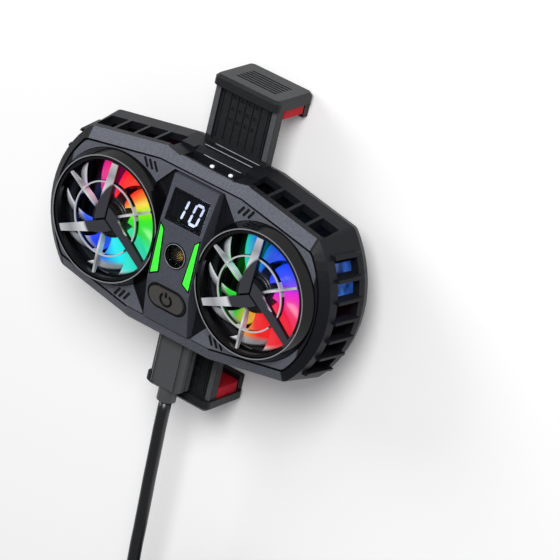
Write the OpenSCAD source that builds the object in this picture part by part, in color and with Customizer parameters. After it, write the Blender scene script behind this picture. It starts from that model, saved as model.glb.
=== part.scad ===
/* [Fans] */
// Distance between the two fan centres
fan_pitch = 48; // [46:0.5:56]
// Radius of the fan mouth at its bright rim
mouth_r = 17; // [15:0.1:17.5]
// Width of the sloping bezel round a mouth
bezel_w = 1.3; // [0.8:0.1:2]
// Height of the rim above the front plate
mouth_rise = 3.5; // [2.5:0.1:5]
// Blades on one rotor
blade_count = 9; // [5:1:11]
// Height of a blade
blade_h = 5.3; // [4:0.1:7]
// Thickness of a blade
blade_t = 0.7; // [0.5:0.1:1]
// How far a blade's tip trails its root, in degrees
blade_sweep = 34; // [15:1:45]
// Radius of the rotor's hub
hub_r = 5.6; // [5.4:0.1:7]
// Gap between the blade tips and the duct
tip_gap = 0.8; // [0.5:0.1:1.5]
// Radius of a fan shaft
shaft_r = 0.75; // [0.6:0.05:1]

/* [Guards] */
// Thickness of a guard
guard_t = 1.4; // [1:0.1:2]
// Wide arms on a guard, with as many thin spokes between them
guard_arms = 3; // [3:1:5]
// Radius of the thin middle ring
guard_ring_r = 9.9; // [8:0.1:12]
// Width of a thin spoke
spoke_w = 0.6; // [0.5:0.1:1.5]

/* [Housing] */
// From a fan centre to the end of the housing
end_reach = 23.1; // [22.5:0.1:28]
// From a fan centre to the housing's corners, along the length
corner_reach = 15; // [13.5:0.1:17]
// Height of the housing across its straight middle
body_h = 52; // [51:0.5:60]
// Height of the housing at its corners
corner_h = 43; // [42:0.5:50]
// Length of the straight middle of the long sides
mid_len = 27; // [26:0.5:34]
// Thickness of the side walls
wall = 1.8; // [1.4:0.1:2.2]
// Thickness of the rear cover's floor
floor_t = 1.2; // [1:0.1:1.6]
// How far the side walls lean in at their top
draft = 1.4; // [0.8:0.1:1.8]
// Height of the bevelled band round the front plate
band_rise = 1.7; // [1:0.1:2.4]
// Width of the band along the long sides
band_w = 3.1; // [2.4:0.1:3.6]
// Width of the band at the ends
band_end = 2.5; // [2:0.1:3]
// Thickness of the front plate
plate_t = 1.2; // [0.8:0.1:1.6]
// Width of the groove round the front plate
groove = 0.5; // [0.3:0.1:0.8]

/* [Vents] */
// Slots in each half of a long side
side_slots = 4; // [3:1:5]
// Slots in each end
end_slots = 6; // [5:1:7]
// Thickness of the bars between slots
bar_t = 0.9; // [0.6:0.1:1.4]
// How far the end bars stand out of the wall
rib_out = 0.9; // [0.5:0.1:1.2]

/* [Bridge panel] */
// Width of the panel at its middle
bridge_w = 13.8; // [13.4:0.1:13.9]
// Length of the panel
bridge_l = 40; // [39:0.5:41]
// Length of the level middle facet
facet_l = 17; // [16.4:0.1:18]
// Drop of the sloping facets at the panel's ends
facet_drop = 2.5; // [1.8:0.1:2.7]
// Wall thickness of the panel
panel_t = 1.2; // [1:0.1:1.4]
// Width of the display window
display_w = 11.6; // [10:0.1:11.8]
// Height of the display window along the slope
display_h = 8.7; // [7:0.1:9]
// Length of the power button
button_l = 11.2; // [8:0.1:11.4]
// Width of the power button
button_w = 5.6; // [4:0.1:6]
// Travel of the power button
button_travel = 0.4; // [0.2:0.05:0.5]
// Radius of the sensor lens
lens_r = 3; // [2.6:0.1:3.2]

/* [Cooling stack] */
// Thickness of a contact pad
contact_t = 0.6; // [0.4:0.1:1]
// Thickness of a cold plate
cold_t = 2; // [1.8:0.1:2.6]
// Side of a square thermoelectric module
tec_side = 23; // [20:0.5:23]
// Thickness of a thermoelectric module
tec_t = 3.4; // [3.4:0.1:4]
// Thickness of a heat sink's base
sink_base_t = 1.8; // [1.4:0.1:2.4]
// Height of a heat sink's fins
fin_h = 4.5; // [4.2:0.1:5.5]
// Fins on one heat sink
fin_count = 11; // [7:2:13]

/* [Clamp] */
// Opening between the pads with the clamp as shown
jaw_gap = 77.6; // [74:0.1:82]
// Thickness of the held device that the lips reach round
device_t = 7.9; // [7:0.1:12]
// How far a jaw closes from here
travel_in = 4.8; // [3:0.1:4.8]
// How far a jaw opens from here
travel_out = 5.2; // [3:0.1:5.2]
// Width of a jaw's arm
arm_w = 20; // [17:0.5:20]
// Thickness of an arm
arm_t = 2.6; // [2:0.1:2.8]
// Width of a hook
hook_w = 21.2; // [20.5:0.1:24]
// Thickness of a hook's back and of its lip
hook_t = 2.9; // [2.4:0.1:3.4]
// Thickness of a lip
lip_t = 2.1; // [1.6:0.1:2.6]
// Reach of a lip from the hook's back
lip_reach = 4.2; // [3.4:0.1:5]
// Thickness of a jaw pad
pad_t = 2.9; // [2:0.1:3.4]
// Turns of a jaw spring
spring_turns = 10; // [6:1:12]

/* [Lead] */
// Diameter of the cable
cable_d = 3.5; // [3:0.1:3.8]
// Width of the USB-C plug's body
plug_w = 9.6; // [9:0.1:10.5]
// Thickness of the USB-C plug's body
plug_t = 6; // [5:0.1:6]
// Length of the USB-C plug's body
plug_l = 14.2; // [11:0.1:16]
// Middle radius of the coil's outer turn
coil_r = 23.8; // [22:0.1:26]

/* [Hidden] */
$fn = 96;
eps = 0.01;
sides = [-1, 1];
// Clearances: running fit, sliding fit, loose fit
run_gap = 0.04;
slide_gap = 0.2;
fit_gap = 0.1;

// Stack of levels, from the surface that the lips stand on upwards
contact_z = lip_t + device_t;
floor_z = contact_z + contact_t;
inner_z = floor_z + floor_t;
split_z = inner_z + 1.2;
arm_z = inner_z + slide_gap;
arm_top = arm_z + arm_t;
rail_top = arm_top + slide_gap;
clamp_cover_t = 0.8;
tec_z = floor_z + cold_t;
sink_z = max(tec_z + tec_t, rail_top + clamp_cover_t + fit_gap);
fin_z = sink_z + sink_base_t;
fin_top = fin_z + fin_h;
blade_z = fin_top + 0.6;
blade_start = 23;
blade_top = blade_z + blade_h;
guard_z = blade_top + 1;
mouth_z = guard_z + guard_t + 0.4;
plate_z = mouth_z - mouth_rise;
deck_top = plate_z - plate_t;
deck_t = 1.2;
deck_z = deck_top - deck_t;
wall_top = plate_z - band_rise;

// Outline of the housing at the level of its split line
fan_x = fan_pitch / 2;
bezel_r = mouth_r + bezel_w;
end_x = fan_x + end_reach;
corner_x = fan_x + corner_reach;
mid_y = body_h / 2;
corner_y = corner_h / 2;
mid_x = mid_len / 2;
corner_round = 2.2;

// Points of an arc through (x0, y0), (tip, 0) and (x0, -y0)
function arc_r(x0, y0, tip) = (pow(y0, 2) + pow(tip - x0, 2)) / (2 * (tip - x0));
function arc_points(x0, y0, tip, n = 16) =
    let (r = arc_r(x0, y0, tip), a = asin(y0 / r))
    [for (i = [0:n]) let (t = a - 2 * a * i / n) [tip - r + r * cos(t), r * sin(t)]];

// Outline drawn in by dy on the long sides, by dend at the end tips and by dcorner at the corners
function outline_points(dy, dend, dcorner) =
    let (right = arc_points(corner_x - dcorner, corner_y - dy, end_x - dend))
    concat(
        [[mid_x, mid_y - dy]], right, [[mid_x, dy - mid_y]],
        [[-mid_x, dy - mid_y]], [for (p = right) [-p[0], -p[1]]], [[-mid_x, mid_y - dy]]
    );

module outline(dy, dend, dcorner, round_r = corner_round) {
    offset(r = round_r, $fn = 24)
    offset(delta = -round_r)
    polygon(outline_points(dy, dend, dcorner));
}

// Loft between two outlines at two levels
module loft(z0, in0, z1, in1) {
    hull() {
        translate([0, 0, z0]) linear_extrude(eps) outline(in0[0], in0[1], in0[2]);
        translate([0, 0, z1 - eps]) linear_extrude(eps) outline(in1[0], in1[1], in1[2]);
    }
}

// How far each level's outline is drawn in
rear_in = [0.7, 0.7, 0.7];
split_in = [0, 0, 0];
wall_in = [draft, draft + 0.1, draft + 0.1];
plate_in = [draft + band_w, draft + band_end, draft + 0.2];
cavity_low = [wall, wall, wall];
cavity_high = [wall_in[0] + wall, wall_in[1] + wall, wall_in[2] + wall];

// Half height of the housing's middle at level z
function side_y(z) = mid_y - draft * (z - split_z) / (wall_top - split_z);

// Fan parts that share a radius
duct_r = mouth_r - 0.9;
blade_r = duct_r - tip_gap;
guard_r = mouth_r - 0.6;
bearing_r = shaft_r + 0.85;

// Case screws and the bosses that take them
screw_x = corner_x - 2.7;
screw_y = corner_y - 5.9;
screw_r = 0.78;
boss_r = 2;
screw_head_r = 1.8;
screw_head_z = floor_z + 0.3;
screw_seat = floor_z + 1.4;
screw_reach = 6;

// Bridge panel profile
bridge_y = bridge_l / 2;
facet_y = facet_l / 2;
facet_mid = -0.5;
upper_start = facet_mid + facet_y;
lower_start = facet_mid - facet_y;
upper_tilt = atan(facet_drop / (bridge_y - upper_start));
lower_tilt = atan(facet_drop / (bridge_y + lower_start));
bridge_end_w = bridge_w + 0.8;
deck_window = [11.2, bridge_l - 4];
panel_low = -bridge_y - 0.9;
bay_corner = [bridge_end_w / 2 + 0.9, bridge_y + 0.55];
bay_touch = [fan_x - 0.61 * bezel_r, 0.815 * bezel_r];
pane_t = 0.8;
digit_t = 0.1;
button_y = -12.6;
button_proud = 0.5;
strip_y = [6.6, 5.5, -6, -7.2];
strip_x = [6.3, 5.3, 4.15];

// Main board and the USB-C socket under it
usb_z = floor_z + 9.2;
socket_h = 3.2;
board_t = 1;
board_z = usb_z + socket_h / 2;
board_top = board_z + board_t;
board_w = 12.8;
socket_w = 8.94;
socket_l = 7.4;
socket_y = -side_y(usb_z) + 0.3;
usb_shell = [8.26, 2.42];
usb_reach = 6.4;

// Scoop in the upper wall above the arm
scoop_w = 17;
scoop_flare = 28;
scoop_back = mid_y - 3.6;
scoop_ledge_z = usb_z + 0.7;
scoop_ledge_y = mid_y - 1.6;
scoop_foot_z = rail_top + 1.6;
scoop_lip_y = mid_y - draft - 0.7;
scoop_lip_z = deck_z - 0.4;
scoop_pan = 1.2;
post_y = scoop_back - scoop_pan - 1.9;

// Cooling stack footprints
channel_w = arm_w + 2 * fit_gap + 0.1;
rail_t = 1;
pin_y = [4 - bridge_y, -6, 6, bridge_y - 4];
cold_flange = [25, 26.6];
cold_face = [23.4, 25];
contact_face = [21.6, 23.2];
sink_size = [27.4, 26];
fin_t = 0.8;

// Clamp positions, measured outwards from the housing's middle
pad_face = jaw_gap / 2;
hook_in = pad_face + pad_t;
hook_out = hook_in + hook_t;
hook_top = arm_top + 1.8;
arm_inner = 8;
spring_post_r = 1.3;
spring_r = 0.95;
spring_wire = 0.36;
spring_slot = 3.4;
spring_end = 20;
lug_x = 5.5;
lug_w = 2.4;
lug_y = [arm_inner + 1, arm_inner + 3];
hook_round = 2;
cap_bevel = 0.8;
groove_lines = 6;

// Lead: a straight stretch chosen by hand from the collar to the coil's top layer
plug_gap = 0.3;
plug_y = -side_y(usb_z - plug_t / 2) - plug_gap;
collar_r = 2.6;
collar_l = 4.3;
lead_y = plug_y - plug_l - collar_l;
coil_y = -118;
coil_pitch = cable_d + 0.6;
coil_low = cable_d / 2 + 0.8;
coil_layers = 4;
layer_turns = 2;
coil_turns = layer_turns * coil_layers;
lead_route = [
    [0, -48, 19.8], [0, -53, 19.7], [0.1, -58, 19.6], [0.2, -63, 19.5], [0.2, -68, 19.3],
    [0.3, -73, 19.1], [0.3, -78, 18.8], [0.3, -83, 18.5], [0.2, -88, 18.2], [0.2, -93, 17.8],
    [0.1, -98, 17.3], [0.1, -103, 16.7], [0, -108, 16], [0, -112, 15.4], [0, -115, 15]
];
tail_route = [[0, -121, 2.8], [0, -124, 3.6], [0, -127, 4.2]];
tail_end = -131;
usb_a_z = 4.3;
usb_a_body = [15.6, 8.2, 24];
usb_a_shell = [12, 4.5, 18.5];

// Small building blocks
module at_fan(side) {
    translate([side * fan_x, 0, 0]) children();
}

module box(x, y, z) {
    translate([x[0], y[0], z[0]]) cube([x[1] - x[0], y[1] - y[0], z[1] - z[0]]);
}

module centred_box(size, z0, z1) {
    translate([-size[0] / 2, -size[1] / 2, z0]) cube([size[0], size[1], z1 - z0]);
}

module rod(r, z0, z1) {
    translate([0, 0, z0]) cylinder(r = r, h = z1 - z0);
}

module tube(r_out, r_in, z0, z1) {
    difference() {
        rod(r_out, z0, z1);
        rod(r_in, z0 - 1, z1 + 1);
    }
}

module stadium(l, w) {
    square([l - w, w], center = true);
    for (s = sides) translate([s * (l - w) / 2, 0]) circle(d = w);
}

module rounded_rect(w, h, r) {
    square([w, h - 2 * r], center = true);
    square([w - 2 * r, h], center = true);
    for (sx = sides, sy = sides) translate([sx * (w / 2 - r), sy * (h / 2 - r)]) circle(r = r);
}

// Extrudes a profile drawn in X and Z along Y, from y0 to a lower y1
module along_y(y0, y1) {
    translate([0, y0, 0]) rotate([90, 0, 0]) linear_extrude(y0 - y1) children();
}

// Extrudes a profile drawn in Y and Z along X, centred, over width w
module along_x(w) {
    translate([-w / 2, 0, 0]) rotate([90, 0, 90]) linear_extrude(w) children();
}

// Sweeps a round section with n sides along points whose tangents and outward directions are given
function unit(v) = v / norm(v);
function ring(p, t, out, r, n) =
    let (side = unit(cross(t, out)), up = cross(side, t))
    [for (i = [0:n - 1]) p + r * (cos(360 * (i + 0.5) / n) * side + sin(360 * (i + 0.5) / n) * up)];

function path_tangents(path, first, last) = [
    for (i = [0:len(path) - 1])
        i == 0 ? first : i == len(path) - 1 ? last : unit(path[i + 1] - path[i - 1])
];

module sweep(path, tangents, outs, r, n) {
    m = len(path);
    rings = [for (i = [0:m - 1]) each ring(path[i], tangents[i], outs[i], r, n)];
    walls = [
        for (i = [0:m - 2], j = [0:n - 1])
            let (a = i * n + j, b = i * n + (j + 1) % n)
            each [[a, a + n, b], [b, a + n, b + n]]
    ];
    caps = [
        for (j = [1:n - 2]) each [[0, j, j + 1], [(m - 1) * n, (m - 1) * n + j + 1, (m - 1) * n + j]]
    ];
    polyhedron(points = rings, faces = concat(walls, caps));
}

// Housing
module fan_holes(r, z0, z1) {
    for (s = sides) at_fan(s) rod(r, z0, z1);
}

module at_screws() {
    for (sx = sides, sy = sides) translate([sx * screw_x, sy * screw_y, 0]) children();
}

module arm_slots() {
    box([-channel_w / 2, channel_w / 2], [-2 * mid_y, 2 * mid_y], [inner_z, rail_top]);
}

module cold_windows(size, z0, z1) {
    for (s = sides) at_fan(s) centred_box(size, z0, z1);
}

module rear_cover() {
    rail_l = 2 * (mid_y - wall);
    color("#2b2d33") difference() {
        union() {
            difference() {
                loft(floor_z, rear_in, split_z, split_in);
                translate([0, 0, inner_z]) linear_extrude(split_z) outline(wall, wall, wall);
            }
            difference() {
                translate([0, 0, inner_z - 0.2]) linear_extrude(split_z + 1 - inner_z)
                    outline(2.1, 2.1, 2.1);
                translate([0, 0, inner_z - 1]) linear_extrude(split_z) outline(2.9, 2.9, 2.9);
                arm_slots();
            }
            for (s = sides) {
                x = s * (channel_w + rail_t) / 2;
                box([x - rail_t / 2, x + rail_t / 2], [-rail_l / 2, rail_l / 2],
                    [inner_z - 0.2, rail_top]);
                for (y = pin_y) translate([x, y, 0]) rod(0.35, rail_top - 0.2,
                    rail_top + clamp_cover_t + 0.2);
            }
            at_screws() rod(boss_r + 0.2, inner_z - 0.2, split_z);
            rod(spring_post_r, inner_z - 0.2, arm_top);
        }
        at_screws() {
            rod(screw_head_r + fit_gap, floor_z - 1, screw_seat);
            rod(screw_r + 0.3, floor_z, split_z + 1);
        }
        cold_windows([cold_face[0] + fit_gap, cold_face[1] + fit_gap], floor_z - 1, inner_z + 0.1);
        for (s = sides) box([-arm_w / 2 - 0.15, arm_w / 2 + 0.15], [s * mid_y - 3, s * mid_y + 3],
            [inner_z, split_z + 2]);
    }
}

side_slot_z = [scoop_foot_z + 1.2, wall_top - 1.8];
end_slot_z = [split_z + 2, wall_top - 2.8];
side_slot_start = mid_x - 1.2;
side_pitch = (corner_x - 1 - side_slot_start) / side_slots;
end_pitch = (2 * corner_y - 10) / end_slots;

module side_vents() {
    for (sx = sides, sy = sides, i = [0:side_slots - 1]) {
        x = sx * (side_slot_start + side_pitch * (i + 0.5));
        w = side_pitch - bar_t;
        box([x - w / 2, x + w / 2], [sy * (mid_y - 1) - 6, sy * (mid_y - 1) + 6], side_slot_z);
    }
}

module end_vents() {
    for (s = sides, i = [0:end_slots - 1]) {
        y = end_pitch * (i + 0.5 - end_slots / 2);
        w = end_pitch - bar_t;
        box([s * (corner_x + 6) - 6.2, s * (corner_x + 6) + 6.2], [y - w / 2, y + w / 2], end_slot_z);
    }
}

module end_ribs() {
    difference() {
        intersection() {
            loft(split_z, [-rib_out, -rib_out, -rib_out], wall_top,
                [draft - rib_out, draft - rib_out, draft - rib_out]);
            for (s = sides, i = [0:end_slots]) {
                y = end_pitch * (i - end_slots / 2);
                box([s * (corner_x + 6) - 6.2, s * (corner_x + 6) + 6.2],
                    [y - bar_t / 2, y + bar_t / 2],
                    [end_slot_z[0] - 0.6, end_slot_z[1] + 0.6]);
            }
        }
        cavity();
    }
}

module cavity() {
    loft(split_z - eps, cavity_low, deck_z, cavity_high);
}

module scoop() {
    back = mid_y + 8;
    along_x(scoop_w) polygon([
        [scoop_back, scoop_ledge_z], [scoop_ledge_y, scoop_ledge_z], [mid_y + 0.4, scoop_foot_z],
        [back, scoop_foot_z], [back, plate_z + 1], [scoop_lip_y, plate_z + 1],
        [scoop_lip_y, scoop_lip_z], [scoop_back, scoop_lip_z]
    ]);
    translate([0, 0, scoop_ledge_z]) linear_extrude(mouth_z - scoop_ledge_z) polygon([
        [-scoop_w / 2, scoop_lip_y], [scoop_w / 2, scoop_lip_y], [scoop_flare / 2, mid_y - draft + 0.2],
        [scoop_flare / 2, back], [-scoop_flare / 2, back], [-scoop_flare / 2, mid_y - draft + 0.2]
    ]);
}

module mid_frame() {
    pan_w = scoop_w + 2 * scoop_pan;
    color("#33363d") difference() {
        union() {
            difference() {
                union() {
                    loft(split_z, split_in, wall_top, wall_in);
                    loft(wall_top - eps, wall_in, plate_z, plate_in);
                }
                cavity();
                side_vents();
                end_vents();
            }
            end_ribs();
            box([-pan_w / 2, pan_w / 2], [scoop_back - scoop_pan, mid_y - wall + 0.2],
                [rail_top + clamp_cover_t + 0.3, deck_z + 0.2]);
            at_screws() rod(boss_r, split_z, deck_z + 0.2);
            for (sx = sides, sy = sides) translate([sx * 4.5, sy * post_y, 0])
                rod(1.1, board_top + 0.05, deck_z + 0.2);
        }
        scoop();
        translate([0, 0, deck_top]) linear_extrude(plate_t + 1)
            outline(plate_in[0], plate_in[1], plate_in[2]);
        fan_holes(duct_r, deck_z - 1, mouth_z);
        centred_box(deck_window, deck_z - 1, mouth_z);
        at_screws() rod(screw_r + 0.02, split_z - 1, screw_seat + screw_reach + 0.5);
        for (s = sides) box([-arm_w / 2 - 0.15, arm_w / 2 + 0.15], [s * mid_y - 3, s * mid_y + 3],
            [split_z - 1, rail_top]);
        translate([0, 0, usb_z]) along_y(-mid_y + 4, -mid_y - 2)
            stadium(socket_w + 0.3, socket_h + 0.3);
    }
}

// Slanted slots pressed into the plate beside the panel's ends
module plate_marks() {
    mark_y = mid_y - plate_in[0] - groove - 2.4;
    for (sx = sides, sy = sides, i = [0:2])
        translate([sx * (bay_corner[0] + 5.9 + 1.6 * i), sy * mark_y, plate_z - 0.4])
            rotate([0, 0, sx * sy * 58]) linear_extrude(1) stadium(3, 0.8);
}

// Open bay round the panel: a narrow strip is left above the upper end, none below the lower end
module panel_bay() {
    low_y = -mid_y;
    polygon([
        bay_corner, bay_touch, [bay_touch[0], -bay_touch[1]], [bay_corner[0], -bay_corner[1]],
        [bay_corner[0], low_y], [-bay_corner[0], low_y], [-bay_corner[0], -bay_corner[1]],
        [-bay_touch[0], -bay_touch[1]], [-bay_touch[0], bay_touch[1]], [-bay_corner[0], bay_corner[1]]
    ]);
}

module front_plate() {
    color("#555a66") difference() {
        translate([0, 0, deck_top]) linear_extrude(plate_t)
            outline(plate_in[0] + groove, plate_in[1] + groove, plate_in[2] + groove);
        fan_holes(bezel_r + fit_gap, deck_top - 1, plate_z + 1);
        translate([0, 0, deck_top - 1]) linear_extrude(plate_t + 2) panel_bay();
        plate_marks();
    }
}

module fan_bezel(side) {
    color("#15161a") difference() {
        at_fan(side) rotate_extrude() polygon([
            [duct_r, deck_top], [bezel_r, deck_top], [bezel_r, plate_z], [mouth_r, mouth_z],
            [mouth_r - 0.3, mouth_z], [guard_r + fit_gap, guard_z], [duct_r, guard_z]
        ]);
        centred_box([bridge_end_w + 2 * fit_gap, bridge_l + 2], deck_top - 1, mouth_z + 1);
    }
}

// One wide arm: a paddle beside the hub that narrows to the outer ring
module guard_arm() {
    tip = guard_r - 0.4;
    polygon([
        [-1.3, 3.2], [0.3, 0.2], [4.6, 0.05], [0.46 * tip, -0.05], [tip, -0.5],
        [tip, 1.4], [0.45 * tip, 2.5], [4.4, 2.9], [3.4, 3.3], [0, 3.4]
    ]);
}

// One thin spoke, a leaf on edge: deepest halfway out, pointed at the outer ring
module guard_vane() {
    tip = guard_r - 0.4;
    top = guard_z + guard_t;
    translate([0, spoke_w / 2, 0]) rotate([90, 0, 0]) linear_extrude(spoke_w) polygon([
        [3.6, guard_z], [0.45 * tip, guard_z - 0.6], [0.65 * tip, guard_z - 0.5], [tip, top - 0.6],
        [tip, top], [0.6 * tip, top + 0.2], [3.6, top - 0.2]
    ]);
}

module fan_guard(side) {
    step = 360 / guard_arms;
    rim_w = 0.7;
    color("#9a9da3") at_fan(side) {
        translate([0, 0, guard_z]) linear_extrude(guard_t) {
            difference() {
                circle(r = guard_r);
                circle(r = guard_r - rim_w);
            }
            difference() {
                circle(r = guard_ring_r + 0.2);
                circle(r = guard_ring_r - 0.2);
            }
            for (i = [0:guard_arms - 1]) rotate(90 + i * step) guard_arm();
        }
        translate([0, 0, guard_z]) linear_extrude(guard_t - 0.5) difference() {
            circle(r = 4.4);
            circle(r = 3.2);
        }
        for (i = [0:guard_arms - 1]) rotate(90 + (i + 0.5) * step) guard_vane();
    }
}

// A blade is a closed grid: u runs from hub to tip, c from the upper edge to the lower one, face is 1 or -1
blade_steps = 7;
chord_steps = 4;
root_r = hub_r - 0.3;
function blade_point(u, c, face) =
    let (
        r = root_r + (blade_r - root_r) * u,
        half = 1.4 + 2.6 * u,
        turn = -blade_sweep * pow(u, 1.15) + (c * half / r) * 180 / PI,
        skin = 0.7 * blade_t * (1 - 0.7 * pow(c, 2)),
        camber = 0.7 * (1 - pow(c, 2)),
        z = blade_h / 2 - c * (blade_h / 2 - blade_t / 2) + camber + face * skin
    )
    [r * cos(turn), r * sin(turn), z];

module blade() {
    row = chord_steps + 1;
    m = row * (blade_steps + 1);
    points = [
        for (face = [1, -1], i = [0:blade_steps], j = [0:chord_steps])
            blade_point(i / blade_steps, 2 * j / chord_steps - 1, face)
    ];
    skins = [
        for (i = [0:blade_steps - 1], j = [0:chord_steps - 1]) let (a = i * row + j)
            each [[a, a + 1, a + row + 1, a + row], [m + a, m + a + row, m + a + row + 1, m + a + 1]]
    ];
    edges = [
        for (i = [0:blade_steps - 1]) let (a = i * row, b = a + chord_steps)
            each [[a, a + row, m + a + row, m + a], [b + row, b, m + b, m + b + row]]
    ];
    ends = [
        for (j = [0:chord_steps - 1]) let (b = blade_steps * row + j)
            each [[j + 1, j, m + j, m + j + 1], [b, b + 1, m + b + 1, m + b]]
    ];
    quads = concat(skins, edges, ends);
    polyhedron(points = points, faces = [for (q = quads)
        each [[q[0], q[1], q[2]], [q[0], q[2], q[3]]]]);
}

hub_top = blade_top + 0.2;
hub_cap = 1.2;
hub_low = fin_z + 1.6;
shaft_low = fin_z + 0.8;
module fan_rotor(side) {
    color("#c9ccd2") at_fan(side) difference() {
        union() {
            difference() {
                rod(hub_r, hub_low, hub_top);
                rod(hub_r - 0.7, hub_low - 1, hub_top - hub_cap);
            }
            rod(bearing_r - 0.2, hub_top - hub_cap - 1.3, hub_top - hub_cap + 0.1);
            for (i = [0:blade_count - 1]) rotate([0, 0, blade_start + i * 360 / blade_count])
                translate([0, 0, blade_z]) blade();
        }
        rod(shaft_r + 0.02, hub_low, hub_top - 0.6);
    }
}

module fan_shaft(side) {
    color("#b8bcc2") at_fan(side) rod(shaft_r, shaft_low, hub_top - 0.7);
}

bearing_top = hub_top - hub_cap - 1.6;
module fan_bearing(side) {
    color("#b08a4a") at_fan(side) tube(bearing_r - 0.02, shaft_r + run_gap, shaft_low - 0.2,
        bearing_top);
}

module fan_motor(side) {
    color("#3c4046") at_fan(side) difference() {
        union() {
            rod(hub_r + 1, fin_z, hub_low - 0.4);
            rod(bearing_r + 0.8, fin_z, bearing_top);
            rod(hub_r - 1.2, hub_low + 0.2, bearing_top - 0.8);
        }
        rod(bearing_r, fin_z + 0.4, bearing_top + 1);
    }
}

guide_t = 0.9;
lamp_t = 1;
module light_guide(side) {
    color("#e8eef5") at_fan(side) tube(duct_r + guide_t, duct_r, fin_top + 0.4, deck_z);
}

module lamp_board(side) {
    r0 = duct_r + guide_t + 0.2;
    color("#1f3b2c") difference() {
        at_fan(side) lamp_ring(r0);
        at_screws() rod(boss_r + 0.2, fin_z, deck_z + 1);
    }
}

module lamp_ring(r0) {
    tube(r0 + 1.4, r0, deck_z - lamp_t, deck_z);
    for (i = [0:7]) rotate([0, 0, 22.5 + 45 * i])
        box([r0 + 0.1, r0 + 1.2], [-0.8, 0.8], [deck_z - lamp_t - 0.6, deck_z - lamp_t + 0.1]);
}

module heat_sink(side) {
    pitch = (sink_size[0] - fin_t) / (fin_count - 1);
    color("#aab0b8") at_fan(side) difference() {
        union() {
            centred_box(sink_size, sink_z, fin_z);
            for (i = [0:fin_count - 1]) translate([pitch * (i - (fin_count - 1) / 2), 0, 0])
                centred_box([fin_t, sink_size[1]], fin_z - 0.1, fin_top);
        }
        rod(hub_r + 1.3, fin_z, fin_top + 1);
    }
}

module thermoelectric(side) {
    ceramic = 0.8;
    color("#e9e6df") at_fan(side) {
        centred_box([tec_side, tec_side], tec_z, tec_z + ceramic);
        centred_box([tec_side - 1.6, tec_side - 1.6], tec_z + ceramic - 0.1, sink_z - ceramic + 0.1);
        centred_box([tec_side, tec_side], sink_z - ceramic, sink_z);
    }
}

module cold_plate(side) {
    color("#c4c8ce") at_fan(side) {
        centred_box(cold_face, floor_z, inner_z + 0.1);
        centred_box(cold_flange, inner_z, tec_z);
    }
}

module contact_pad(side) {
    color("#8d9096") at_fan(side) translate([0, 0, contact_z]) linear_extrude(contact_t)
        rounded_rect(contact_face[0], contact_face[1], 2);
}

module clamp_cover() {
    color("#3a3d44") difference() {
        centred_box([channel_w + 2 * rail_t, 2 * bridge_y - 1], rail_top, rail_top + clamp_cover_t);
        for (s = sides, y = pin_y) translate([s * (channel_w + rail_t) / 2, y, 0])
            rod(0.45, rail_top - 1, rail_top + 2);
        for (sx = sides, sy = sides) translate([sx * lug_x,
            sy * (lug_y[0] + lug_y[1] + travel_out - travel_in) / 2, 0])
            centred_box([lug_w + 0.4, lug_y[1] - lug_y[0] + travel_in + travel_out + 0.4],
                rail_top - 1, rail_top + 2);
    }
}

module case_screws() {
    color("#6f747c") at_screws() difference() {
        union() {
            rod(screw_head_r, screw_head_z, screw_seat);
            rod(screw_r, screw_seat - 0.1, screw_seat + screw_reach);
        }
        for (a = [0, 90]) rotate([0, 0, a]) centred_box([2.2, 0.5], screw_head_z - 1,
            screw_head_z + 0.6);
    }
}

// Bridge panel and what it carries
function upper_z(y) = mouth_z - (y - upper_start) * tan(upper_tilt);
function lower_z(y) = mouth_z - (lower_start - y) * tan(lower_tilt);

module on_upper_facet() {
    translate([0, upper_start, mouth_z]) rotate([-upper_tilt, 0, 0]) children();
}

module bridge_solid(inset) {
    y0 = panel_low + inset;
    y1 = bridge_y - inset;
    w0 = bridge_w / 2 - inset;
    w1 = bridge_end_w / 2 - inset;
    foot = deck_top - inset;
    intersection() {
        along_x(bridge_end_w) polygon([
            [y0, foot], [y1, foot], [y1, upper_z(y1) - inset], [upper_start, mouth_z - inset],
            [lower_start, mouth_z - inset], [y0, lower_z(y0) - inset]
        ]);
        translate([0, 0, foot - 2]) linear_extrude(mouth_z - foot + 4) polygon([
            [w1, y1], [w0, upper_start], [w0, lower_start], [w1, y0],
            [-w1, y0], [-w0, lower_start], [-w0, upper_start], [-w1, y1]
        ]);
    }
}

module strip_outline(side, grow) {
    offset(delta = grow) polygon([
        [side * strip_x[0], strip_y[0]], [side * strip_x[1], strip_y[1]],
        [side * strip_x[2], strip_y[2]], [side * strip_x[0], strip_y[3]]
    ]);
}

pane_y = [0.3, 0.3 + display_h];
module bridge_panel() {
    bore_z = [plate_z - 1, mouth_z + 2];
    color("#4c515c") difference() {
        bridge_solid(0);
        bridge_solid(panel_t);
        on_upper_facet() {
            box([-display_w / 2 - fit_gap, display_w / 2 + fit_gap],
                [pane_y[0] - fit_gap, pane_y[1] + fit_gap], [-pane_t - 0.05, 2]);
            box([-display_w / 2 + 0.7, display_w / 2 - 0.7], [pane_y[0] + 0.7, pane_y[1] - 0.7],
                [-6, 1]);
        }
        for (s = sides) translate([0, 0, mouth_z - 3]) linear_extrude(5) strip_outline(s, 0.05);
        translate([0, button_y, bore_z[0]]) linear_extrude(bore_z[1] - bore_z[0])
            stadium(button_l + 0.5, button_w + 0.5);
        rod(lens_r + 0.6, mouth_z - panel_t - 1, mouth_z + 1);
    }
}

module display_window() {
    color("#0d0e14") on_upper_facet()
        box([-display_w / 2, display_w / 2], pane_y, [-pane_t, -0.05]);
}

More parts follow.
